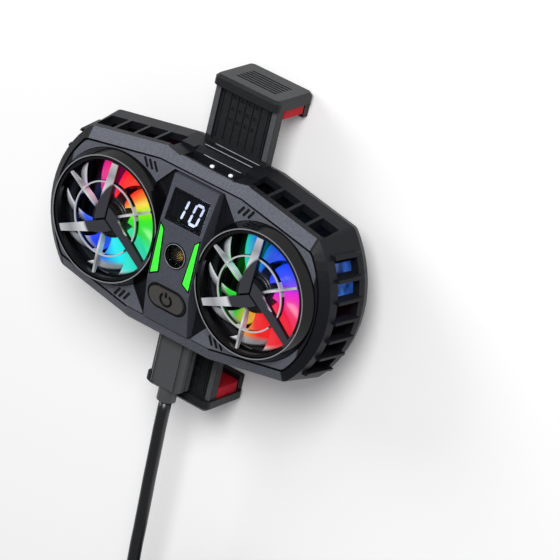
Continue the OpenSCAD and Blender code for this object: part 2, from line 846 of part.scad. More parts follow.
// Seven-segment figures, leaning to the right, lit segments only
seg_l = 2.75;
seg_w = 0.75;
module segment(x, y, upright) {
    translate([x, y]) rotate(upright ? 90 : 0) polygon([
        [-seg_l / 2 + 0.1, 0], [-seg_l / 2 + 0.1 + seg_w / 2, seg_w / 2],
            [seg_l / 2 - 0.1 - seg_w / 2, seg_w / 2],
        [seg_l / 2 - 0.1, 0], [seg_l / 2 - 0.1 - seg_w / 2, -seg_w / 2],
            [-seg_l / 2 + 0.1 + seg_w / 2, -seg_w / 2]
    ]);
}

module figure(segments) {
    places = [
        [0, seg_l, false], [seg_l / 2, seg_l / 2, true], [seg_l / 2, -seg_l / 2, true],
            [0, -seg_l, false],
        [-seg_l / 2, -seg_l / 2, true], [-seg_l / 2, seg_l / 2, true], [0, 0, false]
    ];
    for (i = segments) segment(places[i][0], places[i][1], places[i][2]);
}

module display_digits() {
    lean = [[0.84, 0.14, 0, 0], [0, 1, 0, 0], [0, 0, 1, 0], [0, 0, 0, 1]];
    color("white") on_upper_facet()
        translate([0, (pane_y[0] + pane_y[1]) / 2, -pane_t - 0.05 - digit_t])
        linear_extrude(digit_t) multmatrix(lean) {
            translate([0.05 - seg_l, -0.15]) figure([1, 2]);
            translate([3.05, -0.15]) figure([0, 1, 2, 3, 4, 5]);
        }
}

module display_module() {
    half = display_w / 2 - 0.8;
    y0 = upper_start + 1.4;
    y1 = upper_start + display_h - 1.2;
    color("#18191d") difference() {
        box([-half, half], [y0, y1], [board_top, mouth_z]);
        on_upper_facet() box([-half - 1, half + 1], [-3, display_h + 3], [-pane_t - 0.06 - digit_t, 4]);
    }
}

module light_strip(side) {
    color("#35ff2f") translate([0, 0, mouth_z - panel_t - 0.8]) linear_extrude(panel_t + 0.88)
        strip_outline(side, 0);
}

module sensor_rim() {
    color("#7b8088") tube(lens_r + 0.5, lens_r + 0.05, mouth_z - panel_t, mouth_z + 0.15);
}

module sensor_lens() {
    dome = 12;
    color("#101014") intersection() {
        rod(lens_r, mouth_z - panel_t, mouth_z);
        translate([0, 0, mouth_z - 0.5 - dome]) sphere(r = dome, $fn = 160);
    }
}

module sensor_can() {
    color("#a8843c") {
        rod(1.3, board_top, plate_z);
        rod(1.9, plate_z - 0.1, mouth_z - panel_t - 0.4);
    }
}

switch_top = board_top + 3.9;
module power_button() {
    color("#6a6763") difference() {
        union() {
            translate([0, button_y, plate_z - 0.6]) linear_extrude(mouth_rise + 2)
                stadium(button_l, button_w);
            translate([0, button_y, 0]) rod(1.2, switch_top + button_travel + 0.1, plate_z);
        }
        translate([0, lower_start, mouth_z + button_proud]) rotate([lower_tilt, 0, 0])
            box([-button_l, button_l], [-bridge_l, bridge_l], [0, 9]);
        translate([0, button_y, plate_z - 1]) linear_extrude(1.2) difference() {
            stadium(button_l - 1.6, button_w - 1.6);
            circle(r = 1.2);
        }
    }
}

module button_switch() {
    color("#26282d") translate([0, button_y, 0]) {
        centred_box([4.5, 4.5], board_top, switch_top - 0.7);
        rod(1.2, switch_top - 0.8, switch_top);
    }
}

module main_board() {
    color("#1d4a33") difference() {
        box([-board_w / 2, board_w / 2], [wall + 0.3 - side_y(board_top), post_y + 1.1],
            [board_z, board_top]);
        for (sx = sides) translate([sx * 5.6, 0, 0]) rod(1, board_z - 1, board_top + 1);
    }
}

module usb_c_socket() {
    tongue = [6.4, 0.6, 4.4];
    color("#c3c7cc") translate([0, socket_y, usb_z]) {
        difference() {
            rotate([-90, 0, 0]) linear_extrude(socket_l) stadium(socket_w, socket_h);
            translate([0, -1, 0]) rotate([-90, 0, 0]) linear_extrude(usb_reach + 1.2)
                stadium(usb_shell[0] + 0.12, usb_shell[1] + 0.12);
        }
        translate([-tongue[0] / 2, usb_reach + 0.3 - tongue[2], -tongue[1] / 2])
            cube([tongue[0], tongue[2], tongue[1]]);
    }
}

module indicator_lamps() {
    lamp = 0.8;
    lamp_mid = 1.35;
    color("white") for (s = sides) let (x = lamp_mid + s * 3.05)
        box([x - lamp / 2, x + lamp / 2], [scoop_back, scoop_back + 0.5],
            [scoop_ledge_z, scoop_ledge_z + lamp]);
}

// Clamp
module cap_slab(y, t, draw_in) {
    translate([0, y, hook_top / 2]) rotate([90, 0, 0]) linear_extrude(t)
        rounded_rect(hook_w - 2 * draw_in, hook_top - 2 * draw_in, hook_round - draw_in);
}

module jaw(dir) {
    rib_pitch = 2.4;
    recess_l = 15;
    recess_d = 0.3;
    mark_z = arm_top - recess_d - 0.35;
    color("#2e3035") mirror([0, dir < 0 ? 1 : 0, 0]) difference() {
        union() {
            box([-arm_w / 2, arm_w / 2], [arm_inner, hook_in + 0.1], [arm_z, arm_top]);
            hull() {
                cap_slab(hook_out - cap_bevel, hook_t - cap_bevel, 0);
                cap_slab(hook_out, eps, cap_bevel);
            }
            box([-hook_w / 2 + 1, hook_w / 2 - 1], [hook_in - lip_reach, hook_in + 0.1], [0, lip_t]);
            for (s = sides) box([s * lug_x - lug_w / 2, s * lug_x + lug_w / 2], lug_y,
                [arm_top - 0.1, rail_top + clamp_cover_t - fit_gap]);
        }
        box([-spring_slot / 2, spring_slot / 2], [arm_inner - 1, spring_end], [arm_z - 1, arm_top + 1]);
        box([1.7 - arm_w / 2, arm_w / 2 - 1.7], [hook_in - recess_l, hook_in - 0.6],
            [arm_top - recess_d, arm_top + 1]);
        for (i = [-3:3]) box([i * rib_pitch - 0.2, i * rib_pitch + 0.2],
            [hook_in - recess_l + 0.8, hook_in - 1.2], [mark_z, arm_top]);
        for (i = [-1.5:1.5], j = [0:2]) {
            y = hook_in - 8.6 + 3.1 * j;
            box([i * rib_pitch - 0.65, i * rib_pitch + 0.65], [y, y + 0.9], [mark_z, arm_top]);
        }
        for (s = sides) translate([s * (arm_w / 2 - 2), 0, 0])
            box([-0.3, 0.3], [hook_in - recess_l, hook_in - 0.6], [mark_z, arm_top]);
        for (i = [0:groove_lines - 1]) translate([0, hook_out, hook_top / 2 - 3.1 + 1.3 * i + 0.2])
            box([-6.4, 6.4], [-0.5, 1], [-0.35, 0.35]);
    }
}

module jaw_pad(dir) {
    color("#c8102e") mirror([0, dir < 0 ? 1 : 0, 0])
        along_y(hook_in, pad_face) translate([0, (lip_t + arm_z) / 2])
            rounded_rect(hook_w - 1.6, arm_z - lip_t - 0.4, 1);
}

spring_run = spring_end - spring_post_r - 0.3;
module jaw_spring(dir) {
    lead_in = 1.2;
    rings = 8;
    coil_l = spring_run - 2 * lead_in;
    z = (arm_z + arm_top) / 2;
    n = spring_turns * rings;
    helix = [
        for (i = [0:n]) let (a = 360 * i / rings)
            [spring_r * cos(a), spring_post_r + 0.15 + lead_in + coil_l * i / n, z + spring_r * sin(a)]
    ];
    path = concat(
        [[spring_r, spring_post_r + 0.15, z], [spring_r, spring_post_r + 0.15 + spring_wire, z]], helix,
        [[spring_r, spring_end - 0.15 - spring_wire, z], [spring_r, spring_end - 0.15, z]]
    );
    color("#b8bcc2") rotate([0, 0, dir < 0 ? 180 : 0])
        sweep(path, path_tangents(path, [0, 1, 0], [0, 1, 0]), [for (p = path) [p[0], 0, p[2] - z]],
            spring_wire / 2, 6);
}

// Lead
module usb_c_shell() {
    color("#c3c7cc") translate([0, 0, usb_z]) difference() {
        along_y(plug_y + usb_reach, plug_y) stadium(usb_shell[0], usb_shell[1]);
        along_y(plug_y + usb_reach + 1, plug_y + 0.6) stadium(usb_shell[0] - 0.6, usb_shell[1] - 0.6);
    }
}

module usb_c_body() {
    end = plug_y - plug_l;
    color("#3d3e42") translate([0, 0, usb_z]) {
        difference() {
            along_y(plug_y, end) rounded_rect(plug_w, plug_t, 1.4);
            for (s = sides) let (front = s * (plug_w / 2 - 1.15), edge = s * (plug_w / 2 + 0.3)) {
                box([front - 0.45, front + 0.45], [end - 1, plug_y + 1], [plug_t / 2 - 0.5, plug_t]);
                box([edge - 0.75, edge + 0.75], [end - 1, plug_y + 1], [-0.7, 0.1]);
            }
        }
        along_y(end + 0.2, lead_y) circle(r = collar_r);
    }
}

cable_path = concat([[0, lead_y, usb_z]], lead_route,
    [[0, coil_y, coil_low + (coil_layers - 1) * coil_pitch]]);
module cable() {
    color("#1b1c1f") sweep(cable_path, path_tangents(cable_path, [0, -1, 0], [0, -1, 0]),
        [for (p = cable_path) [0, 0, 1]], cable_d / 2, 8);
}

// The coil spirals in and out layer by layer, and drops a layer in the half turn where it reverses
loop_rings = 24;
coil_x = coil_r;
function coil_radius(t) =
    let (k = floor(t / layer_turns), f = t - k * layer_turns)
    coil_r - coil_pitch * (k % 2 == 0 ? f : layer_turns - f);
function layer_drop(t) =
    let (k = round(t / layer_turns), f = t - k * layer_turns)
    k < 1 ? 0 : k >= coil_layers ? coil_layers - 1 : k - 1 + min(1, max(0, 2 * f + 0.5));
coil_path = concat(
    [
        for (i = [0:coil_turns * loop_rings]) let (t = i / loop_rings, a = 180 + 360 * t)
            [coil_x + coil_radius(t) * cos(a), coil_y + coil_radius(t) * sin(a),
             coil_low + coil_pitch * (coil_layers - 1 - layer_drop(t))]
    ],
    tail_route, [[0, tail_end, usb_a_z]]
);
coil_gap = min([
    for (i = [0:len(coil_path) - 1], j = [i + loop_rings / 2:1:len(coil_path) - 1])
        norm(coil_path[i] - coil_path[j])
]) - cable_d;
echo(coil_gap_mm = coil_gap);
module cable_coil() {
    color("#1b1c1f") sweep(coil_path, path_tangents(coil_path, [0, -1, 0], [0, -1, 0]),
        [for (p = coil_path) [0, 0, 1]], cable_d / 2, 6);
}

module cable_tie() {
    tie_w = 7;
    tie_t = 0.5;
    inner = coil_r - layer_turns * coil_pitch - cable_d / 2 - 1.1;
    outer = coil_r + cable_d / 2 + 0.4;
    top = coil_low + (coil_layers - 1) * coil_pitch + cable_d / 2 + 0.2;
    color("#2a2b2f") translate([coil_x, coil_y + tie_w / 2, 0]) rotate([90, 0, 0])
        linear_extrude(tie_w) difference() {
        translate([inner - tie_t, 0.05]) square([outer - inner + 2 * tie_t, top + tie_t - 0.05]);
        translate([inner, 0.05 + tie_t]) square([outer - inner, top - tie_t - 0.05]);
    }
}

usb_a_y = tail_end - 6;
module usb_a_body() {
    end = usb_a_y - usb_a_body[2];
    color("#3d3e42") translate([0, 0, usb_a_z]) {
        along_y(tail_end, usb_a_y - 0.2) circle(r = collar_r);
        along_y(usb_a_y, end) rounded_rect(usb_a_body[0], usb_a_body[1], 1.6);
        box([-5.3, 5.3], [end - usb_a_shell[2] + 1, end + 0.2], [-1.6, 0]);
    }
}

module usb_a_shell() {
    start = usb_a_y - usb_a_body[2];
    end = start - usb_a_shell[2];
    color("#c3c7cc") translate([0, 0, usb_a_z]) difference() {
        along_y(start, end) rounded_rect(usb_a_shell[0], usb_a_shell[1], 0.5);
        along_y(start + 1, end - 1) rounded_rect(usb_a_shell[0] - 0.8, usb_a_shell[1] - 0.8, 0.3);
        for (s = sides) box([s * 2.6 - 1.2, s * 2.6 + 1.2], [end + 5.2, end + 7.6], [-4, 4]);
    }
}

rear_cover();
mid_frame();
front_plate();
fan_bezel(-1);  // fan_bezel_left
fan_bezel(1);  // fan_bezel_right
fan_guard(-1);  // fan_guard_left
fan_guard(1);  // fan_guard_right
fan_rotor(-1);  // fan_rotor_left
fan_rotor(1);  // fan_rotor_right
fan_shaft(-1);  // fan_shaft_left
fan_shaft(1);  // fan_shaft_right
fan_bearing(-1);  // fan_bearing_left
fan_bearing(1);  // fan_bearing_right
fan_motor(-1);  // fan_motor_left
fan_motor(1);  // fan_motor_right
light_guide(-1);  // light_guide_left
light_guide(1);  // light_guide_right
lamp_board(-1);  // lamp_board_left
lamp_board(1);  // lamp_board_right
heat_sink(-1);  // heat_sink_left
heat_sink(1);  // heat_sink_right
thermoelectric(-1);  // thermoelectric_left
thermoelectric(1);  // thermoelectric_right
cold_plate(-1);  // cold_plate_left
cold_plate(1);  // cold_plate_right
contact_pad(-1);  // contact_pad_left
contact_pad(1);  // contact_pad_right
bridge_panel();
display_window();
display_digits();
display_module();
light_strip(-1);  // light_strip_left
light_strip(1);  // light_strip_right
sensor_rim();
sensor_lens();
sensor_can();
power_button();
button_switch();
main_board();
usb_c_socket();
indicator_lamps();
clamp_cover();
case_screws();
jaw(1);  // upper_jaw
jaw(-1);  // lower_jaw
jaw_pad(1);  // upper_pad
jaw_pad(-1);  // lower_pad
jaw_spring(1);  // upper_spring
jaw_spring(-1);  // lower_spring
usb_c_shell();
usb_c_body();
cable();
cable_coil();
cable_tie();
usb_a_body();
usb_a_shell();
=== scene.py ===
"""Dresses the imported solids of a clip-on cooling fan: materials, lead, lit rotors, small trim and the stage."""
import math

import bpy
import numpy as np
from mathutils import Matrix, Vector


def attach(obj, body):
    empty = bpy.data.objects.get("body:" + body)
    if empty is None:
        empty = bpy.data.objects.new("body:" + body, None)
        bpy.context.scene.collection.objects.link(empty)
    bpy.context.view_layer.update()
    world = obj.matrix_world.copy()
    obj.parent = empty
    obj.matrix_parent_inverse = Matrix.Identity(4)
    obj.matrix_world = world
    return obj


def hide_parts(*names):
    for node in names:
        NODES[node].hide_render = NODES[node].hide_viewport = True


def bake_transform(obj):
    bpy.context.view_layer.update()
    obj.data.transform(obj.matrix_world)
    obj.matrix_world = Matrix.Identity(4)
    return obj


bl_info = {
    "name": "Clip-on cooling fan",
    "version": (1, 0, 0),
    "blender": (4, 5, 0),
    "location": "View3D > Sidebar > Cooling fan",
    "description": "Materials, lead, lit rotors and trim for a dual clip-on cooling fan",
    "category": "Object",
}

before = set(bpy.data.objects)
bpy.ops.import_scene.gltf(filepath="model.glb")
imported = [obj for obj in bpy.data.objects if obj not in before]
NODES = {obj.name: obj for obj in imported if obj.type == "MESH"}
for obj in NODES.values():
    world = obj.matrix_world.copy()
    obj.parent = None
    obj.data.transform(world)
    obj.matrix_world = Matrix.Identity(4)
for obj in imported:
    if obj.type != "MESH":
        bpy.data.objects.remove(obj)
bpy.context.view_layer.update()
SIDES = {"left": -1.0, "right": 1.0}
# A millimetre in metres
MM = 0.001
# Heights in metres: lower edge of the band, top of the sunk floors, face of the plate, bright line on a bezel
BAND_LOW, FLOOR_TOP, PLATE_FACE, RIM_LOW = 0.0254, 0.0265, 0.0272, 0.03097
# Outer limit of a fan's glow, and how far out along X the plate keeps its grey, beyond which its ends are painted
# shade
FAN_REACH, PLATE_REACH = 0.0165, 0.0398
# Widths in metres of the soft edges of painted light and shade by height and along X, and of the bright line on a
# bezel
LIT_EDGE, REACH_EDGE, RIM_EDGE = 0.0002, 0.0004, 0.00004
# Parts of a normal between which a face stops being sloped, and between which it starts to face along X: level floors
# that lie low and faces along X keep painted shade
LEVEL, ASIDE = (0.99, 0.998), (0.1, 0.12)
# Depth of a bump in metres, and waves per metre of cloudy roughness and of orange peel
BUMP_DEPTH, CLOUD_SCALE, PEEL_SCALE = 0.0002, 90.0, 700.0
# How far roughness strays below and above its middle value on moulded, polished and metal surfaces
MOULDED_STRAY, GLOSS_STRAY, METAL_STRAY = (-0.06, 0.06), (-0.03, 0.05), (-0.07, 0.1)
# Strength of the bump of orange peel
PEEL_RELIEF = 0.02


def linear(code):
    """An sRGB hex value as linear red, green and blue."""
    values = np.array([int(code[i:i + 2], 16) for i in (1, 3, 5)]) / 255.0
    dark, bright = values / 12.92, ((values + 0.055) / 1.055) ** 2.4
    return tuple(float(v) for v in np.where(values <= 0.04045, dark, bright))


def colour(label, code, use):
    """A colour property whose default is an sRGB hex value."""
    return bpy.props.FloatVectorProperty(
        name=label, description=use, subtype="COLOR", size=3, min=0.0, max=1.0, default=linear(code))


def length(label, metres, use):
    """A length property in metres."""
    return bpy.props.FloatProperty(
        name=label, description=use, default=metres, min=0.0, unit="LENGTH", precision=5)


class CoolerSizes(bpy.types.PropertyGroup):
    """Sizes of the pieces that this file makes."""

    cable_diameter: length("Cable diameter", 0.0035, "Outside diameter of the lead")
    fan_offset: length("Fan offset", 0.024, "From the middle of the housing to a fan's axis")
    blade_radius: length("Blade radius", 0.0153, "From a fan's axis to a blade's tip")
    hub_radius: length("Hub radius", 0.0056, "Radius of a rotor's hub")
    symbol_radius: length("Symbol radius", 0.00175, "Radius of the open ring on the button")


class CoolerColours(bpy.types.PropertyGroup):
    """Colours of the visible finishes."""

    # The plate grey also lies on the top of the band as painted light; the band's sides keep the shell's black as
    # painted shade
    plate: colour("Plate", "#5d6069", "Slate grey of the front plate and the band round it")
    panel: colour("Panel", "#484b54", "Darker slate grey of the panel between the fans")
    shell: colour("Shell", "#17181c", "Near black of the walls and the rear cover")
    bezel: colour("Bezel", "#08080a", "Gloss black of the fan bezels")
    clamp: colour("Clamp", "#212224", "Near black of the jaws")
    pad: colour("Pad", "#c01426", "Red of the soft jaw pads")
    button: colour("Button", "#4a4845", "Warm grey of the button")
    strip: colour("Strip", "#35e82f", "Green of the light strips")
    blade: colour("Blade", "#d2d6da", "Milky white of the fan blades")
    lead: colour("Lead", "#121315", "Black of the cable and its plugs")


def sizes():
    return bpy.context.scene.cooler_sizes


def colours():
    return bpy.context.scene.cooler_colours


def add(tree, kind, links=None, stops=(), **settings):
    """Adds one node: settings are attributes, links are values or sockets for inputs, stops are marks of a ramp."""
    node = tree.nodes.new(kind)
    for key, value in settings.items():
        setattr(node, key, value)
    for key, value in (links or {}).items():
        if isinstance(value, bpy.types.NodeSocket):
            tree.links.new(value, node.inputs[key])
        else:
            node.inputs[key].default_value = value
    for i, (place, value) in enumerate(stops):
        marks = node.color_ramp.elements
        mark = marks[i] if i < 2 else marks.new(place)
        mark.position, mark.color = place, rgba(value)
    return node


def rgba(value):
    return (*value[:3], 1.0)


def start(name, **values):
    """A new material with a Principled shader whose plain sockets are set; returns material, tree and shader."""
    material = bpy.data.materials.new(name)
    material.use_nodes = True
    tree = material.node_tree
    shader = tree.nodes["Principled BSDF"]
    for key, value in values.items():
        shader.inputs[key].default_value = value
    return material, tree, shader


def shade(value, factor):
    """A linear colour made darker or lighter."""
    return tuple(min(1.0, v * factor) for v in value[:3])


def moulded(name, base, rough, grain_mm, relief, speck=0.25, shine=0.5, upper=None, above=0.0, reach=1.0):
    """Moulded plastic with a spark-eroded grain that breaks up its shine.

    Where an upper colour is given, it is painted light: it covers what lies above a height and within a reach along
    X, as the lit look of the tops, while level floors that lie low, faces that look along X and the rest keep the
    base colour as painted shade.
    """
    material, tree, shader = start(name, **{"IOR": 1.5, "Specular IOR Level": shine})
    place = add(tree, "ShaderNodeTexCoord").outputs["Object"]
    grain = add(tree, "ShaderNodeTexNoise", {"Vector": place, "Scale": 1.0 / (grain_mm * MM), "Detail": 3.0})
    cloud = add(tree, "ShaderNodeTexNoise", {"Vector": place, "Scale": CLOUD_SCALE, "Detail": 2.0})
    tone, *painted = [add(tree, "ShaderNodeValToRGB", {0: grain.outputs["Fac"]}, stops=[
        (0.32, shade(value, 1.0 - speck)), (0.68, shade(value, 1.0 + speck))]).outputs["Color"]
        for value in (base, upper) if value is not None]
    if painted:
        parts = add(tree, "ShaderNodeSeparateXYZ", {0: place})
        height = parts.outputs["Z"]
        across = add(tree, "ShaderNodeMath", {0: parts.outputs["X"]}, operation="ABSOLUTE")
        within = add(tree, "ShaderNodeMapRange", {
            "Value": across.outputs["Value"], "From Min": reach, "From Max": reach + REACH_EDGE,
            "To Min": 1.0, "To Max": 0.0})
        split = add(tree, "ShaderNodeMapRange", {"Value": height, "From Min": above, "From Max": above + LIT_EDGE})
        facing = add(tree, "ShaderNodeSeparateXYZ", {0: add(tree, "ShaderNodeNewGeometry").outputs["Normal"]})
        sloped = add(tree, "ShaderNodeMapRange", {
            "Value": facing.outputs["Z"], "From Min": LEVEL[0], "From Max": LEVEL[1], "To Min": 1.0, "To Max": 0.0})
        raised = add(tree, "ShaderNodeMapRange", {
            "Value": height, "From Min": FLOOR_TOP, "From Max": FLOOR_TOP + LIT_EDGE})
        clear = add(tree, "ShaderNodeMath", {
            0: sloped.outputs["Result"], 1: raised.outputs["Result"]}, operation="MAXIMUM")
        aside = add(tree, "ShaderNodeMath", {0: facing.outputs["X"]}, operation="ABSOLUTE")
        along = add(tree, "ShaderNodeMapRange", {
            "Value": aside.outputs["Value"], "From Min": ASIDE[0], "From Max": ASIDE[1],
            "To Min": 1.0, "To Max": 0.0})
        # Painted light and shade: the upper colour covers the tops only; low level floors, faces along X and the far
        # ends keep the base colour
        cover = split.outputs["Result"]
        for limit in (clear.outputs["Value"], along.outputs["Result"], within.outputs["Result"]):
            cover = add(tree, "ShaderNodeMath", {0: cover, 1: limit}, operation="MULTIPLY").outputs["Value"]
        tone = add(tree, "ShaderNodeMix", {0: cover, 6: tone, 7: painted[0]}, data_type="RGBA").outputs[2]
    tree.links.new(tone, shader.inputs["Base Color"])
    sheen = add(tree, "ShaderNodeMapRange", {
        "Value": cloud.outputs["Fac"], "To Min": rough + MOULDED_STRAY[0], "To Max": rough + MOULDED_STRAY[1]})
    tree.links.new(sheen.outputs["Result"], shader.inputs["Roughness"])
    bump = add(tree, "ShaderNodeBump", {"Height": grain.outputs["Fac"], "Strength": relief, "Distance": BUMP_DEPTH})
    tree.links.new(bump.outputs["Normal"], shader.inputs["Normal"])
    return material


def gloss(name, base, rough=0.1, rim=None, shine=0.5):
    """Polished plastic with a faint orange peel; above the rim height a thin bright grey line shows."""
    material, tree, shader = start(name, **{"IOR": 1.5, "Specular IOR Level": shine})
    place = add(tree, "ShaderNodeTexCoord").outputs["Object"]
    peel = add(tree, "ShaderNodeTexNoise", {"Vector": place, "Scale": PEEL_SCALE, "Detail": 1.0})
    tone = add(tree, "ShaderNodeValToRGB", {0: peel.outputs["Fac"]}, stops=[
        (0.3, shade(base, 0.85)), (0.7, shade(base, 1.15))]).outputs["Color"]
    if rim is not None:
        height = add(tree, "ShaderNodeSeparateXYZ", {0: place}).outputs["Z"]
        top = add(tree, "ShaderNodeMapRange", {"Value": height, "From Min": rim, "From Max": rim + RIM_EDGE})
        tone = add(tree, "ShaderNodeMix", {0: top.outputs["Result"], 6: tone, 7: rgba(linear("#9a9ca1"))},
                   data_type="RGBA").outputs[2]
    tree.links.new(tone, shader.inputs["Base Color"])
    sheen = add(tree, "ShaderNodeMapRange", {
        "Value": peel.outputs["Fac"], "To Min": rough + GLOSS_STRAY[0], "To Max": rough + GLOSS_STRAY[1]})
    tree.links.new(sheen.outputs["Result"], shader.inputs["Roughness"])
    bump = add(tree, "ShaderNodeBump", {
        "Height": peel.outputs["Fac"], "Strength": PEEL_RELIEF, "Distance": BUMP_DEPTH})
    tree.links.new(bump.outputs["Normal"], shader.inputs["Normal"])
    return material


def metal(name, base, rough, stretch=(40.0, 900.0, 900.0)):
    """Drawn or rolled metal: fine lines along one direction vary the roughness."""
    material, tree, shader = start(name, Metallic=1.0)
    place = add(tree, "ShaderNodeTexCoord").outputs["Object"]
    turned = add(tree, "ShaderNodeMapping", {"Vector": place, "Scale": stretch})
    lines = add(tree, "ShaderNodeTexNoise", {"Vector": turned.outputs["Vector"], "Scale": 1.0, "Detail": 3.0})
    tone = add(tree, "ShaderNodeValToRGB", {0: lines.outputs["Fac"]}, stops=[
        (0.3, shade(base, 0.86)), (0.7, shade(base, 1.08))])
    tree.links.new(tone.outputs["Color"], shader.inputs["Base Color"])
    sheen = add(tree, "ShaderNodeMapRange", {
        "Value": lines.outputs["Fac"], "To Min": rough + METAL_STRAY[0], "To Max": rough + METAL_STRAY[1]})
    tree.links.new(sheen.outputs["Result"], shader.inputs["Roughness"])
    return material


def fan_polar(tree, side):
    """Radius in metres and turn from 0 to 1 round a fan's axis, from Object coordinates."""
    place = add(tree, "ShaderNodeTexCoord").outputs["Object"]
    centre = add(tree, "ShaderNodeMapping", {
        "Vector": place, "Location": (-SIDES[side] * sizes().fan_offset, 0.0, 0.0)})
    parts = add(tree, "ShaderNodeSeparateXYZ", {0: centre.outputs["Vector"]})
    angle = add(tree, "ShaderNodeMath", {0: parts.outputs["Y"], 1: parts.outputs["X"]}, operation="ARCTAN2")
    turn = add(tree, "ShaderNodeMapRange", {
        "Value": angle.outputs["Value"], "From Min": -math.pi, "From Max": math.pi})
    flat = add(tree, "ShaderNodeCombineXYZ", {"X": parts.outputs["X"], "Y": parts.outputs["Y"]})
    radius = add(tree, "ShaderNodeVectorMath", {0: flat.outputs["Vector"]}, operation="LENGTH")
    return radius.outputs["Value"], turn.outputs["Result"]


# Hues round each fan by turn: 0 points away from +X, and turns run anticlockwise
GLOW = {
    "left": [(0.0, "#4a90f0"), (0.04, "#2a62f0"), (0.19, "#1038ff"), (0.235, "#1050f0"), (0.265, "#1090f8"),
             (0.305, "#18f0f8"), (0.36, "#18e8d0"), (0.425, "#18d0a0"), (0.46, "#20e890"), (0.49, "#08d828"),
             (0.54, "#10f010"), (0.583, "#a0f010"), (0.606, "#f8e010"), (0.64, "#f88010"), (0.675, "#f83810"),
             (0.74, "#ff1010"), (0.778, "#f81040"), (0.817, "#f01890"), (0.87, "#e0208a"), (0.89, "#f070e8"),
             (0.93, "#a080f0"), (1.0, "#4a90f0")],
    "right": [(0.0, "#10e820"), (0.17, "#10c020"), (0.215, "#d0b020"), (0.25, "#f09028"), (0.29, "#f01810"),
              (0.44, "#f00030"), (0.5, "#f00a70"), (0.545, "#f020d0"), (0.585, "#8030f0"), (0.61, "#2a3cf8"),
              (0.667, "#1040ff"), (0.736, "#0a4fd0"), (0.79, "#0a78d8"), (0.833, "#10c8c0"), (0.875, "#10d890"),
              (0.91, "#18e060"), (0.944, "#10e030"), (1.0, "#10e820")],
}
# How far out the glow reaches by turn, as a part of FAN_REACH: on the side away from +X only the hub's edge glows
GLOW_REACH = [
    (0.0, 0.6), (0.16, 0.6), (0.2, 0.74), (0.29, 0.8), (0.36, 0.95), (0.8, 0.95), (0.86, 0.85), (0.92, 0.68),
    (1.0, 0.6)]
# Where the glow fades, in metres within its reach
GLOW_FADE = (-0.0006, 0.0012)


def lit_fan(name, side, strength, base, rough):
    """Milky plastic with coloured lamps beneath: their hues run round the axis, and bare plastic shows beyond."""
    material, tree, shader = start(name, **{
        "IOR": 1.49, "Specular IOR Level": 0.3, "Emission Strength": strength, "Roughness": rough})
    radius, turn = fan_polar(tree, side)
    hue = add(tree, "ShaderNodeValToRGB", {0: turn}, stops=[(place, linear(code)) for place, code in GLOW[side]])
    reach = add(tree, "ShaderNodeValToRGB", {0: turn}, stops=[(place, (part,) * 3) for place, part in GLOW_REACH])
    outer = add(tree, "ShaderNodeMath", {0: reach.outputs["Color"], 1: FAN_REACH}, operation="MULTIPLY")
    inside = add(tree, "ShaderNodeMath", {0: outer.outputs["Value"], 1: radius}, operation="SUBTRACT")
    share = add(tree, "ShaderNodeMapRange", {
        "Value": inside.outputs["Value"], "From Min": GLOW_FADE[0], "From Max": GLOW_FADE[1]}).outputs["Result"]
    glow = add(tree, "ShaderNodeMix", {0: share, 6: (0.0, 0.0, 0.0, 1.0), 7: hue.outputs["Color"]}, data_type="RGBA")
    tree.links.new(glow.outputs[2], shader.inputs["Emission Color"])
    bare = add(tree, "ShaderNodeMix", {0: share, 6: rgba(base), 7: rgba(shade(base, 0.06))}, data_type="RGBA")
    tree.links.new(bare.outputs[2], shader.inputs["Base Color"])
    return material


def lit(name, base, strength, rough=0.3, uneven=0.1, patch=160.0):
    """A lamp cover that shines by itself: the light behind it is a little stronger in some patches than in others."""
    material, tree, shader = start(name, **{"Emission Strength": strength, "Roughness": rough})
    place = add(tree, "ShaderNodeTexCoord").outputs["Object"]
    cloud = add(tree, "ShaderNodeTexNoise", {"Vector": place, "Scale": patch, "Detail": 1.0})
    tone = add(tree, "ShaderNodeValToRGB", {0: cloud.outputs["Fac"]}, stops=[
        (0.35, shade(base, 1.0 - uneven)), (0.65, shade(base, 1.0 + uneven))])
    tree.links.new(tone.outputs["Color"], shader.inputs["Base Color"])
    tree.links.new(tone.outputs["Color"], shader.inputs["Emission Color"])
    return material


def dress(material, *names):
    """Gives CAD nodes a material."""
    for name in names:
        mesh = NODES[name].data
        mesh.materials.clear()
        mesh.materials.append(material)


def both(name):
    return [f"{name}_left", f"{name}_right"]


def new_piece(name, points, faces, material, body, smooth=True):
    """A mesh object at the origin from arrays of points and faces, riding on a body unless none is given."""
    mesh = bpy.data.meshes.new(name)
    mesh.from_pydata(np.asarray(points, float).reshape(-1, 3).tolist(), [], [tuple(f) for f in faces])
    mesh.polygons.foreach_set("use_smooth", np.full(len(mesh.polygons), smooth))
    mesh.materials.append(material)
    mesh.update()
    piece = bpy.data.objects.new(name, mesh)
    bpy.context.scene.collection.objects.link(piece)
    if body:
        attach(piece, body)
    return piece


def grid_faces(rows, columns, closed):
    """Quads between neighbouring points of a grid whose columns may join up."""
    i, j = np.meshgrid(np.arange(rows - 1), np.arange(columns if closed else columns - 1), indexing="ij")
    k = (j + 1) % columns
    low, high = i * columns, (i + 1) * columns
    return np.stack([low + j, low + k, high + k, high + j], -1).reshape(-1, 4)


def capped(rings):
    """Walls between closed rings of points, with a fan of triangles to a middle point at each end."""
    n, around = rings.shape[:2]
    walls = grid_faces(n, around, True).tolist()
    j = np.arange(around)
    k = (j + 1) % around
    count, last = n * around, (n - 1) * around
    low = np.stack([np.full(around, count), k, j], -1).tolist()
    high = np.stack([np.full(around, count + 1), last + j, last + k], -1).tolist()
    return np.concatenate([rings.reshape(-1, 3), rings[[0, -1]].mean(axis=1)]), walls + low + high


def slab(outline, levels, across=1.0, along=1.0):
    """A flat piece between two levels: its outline in millimetres is mirrored by the signs across X and along Y."""
    flat = np.array(outline) * (across, along)
    rings = np.stack([np.column_stack([flat, np.full(len(flat), z)]) for z in levels]) * MM
    return capped(rings if across * along > 0 else rings[::-1])


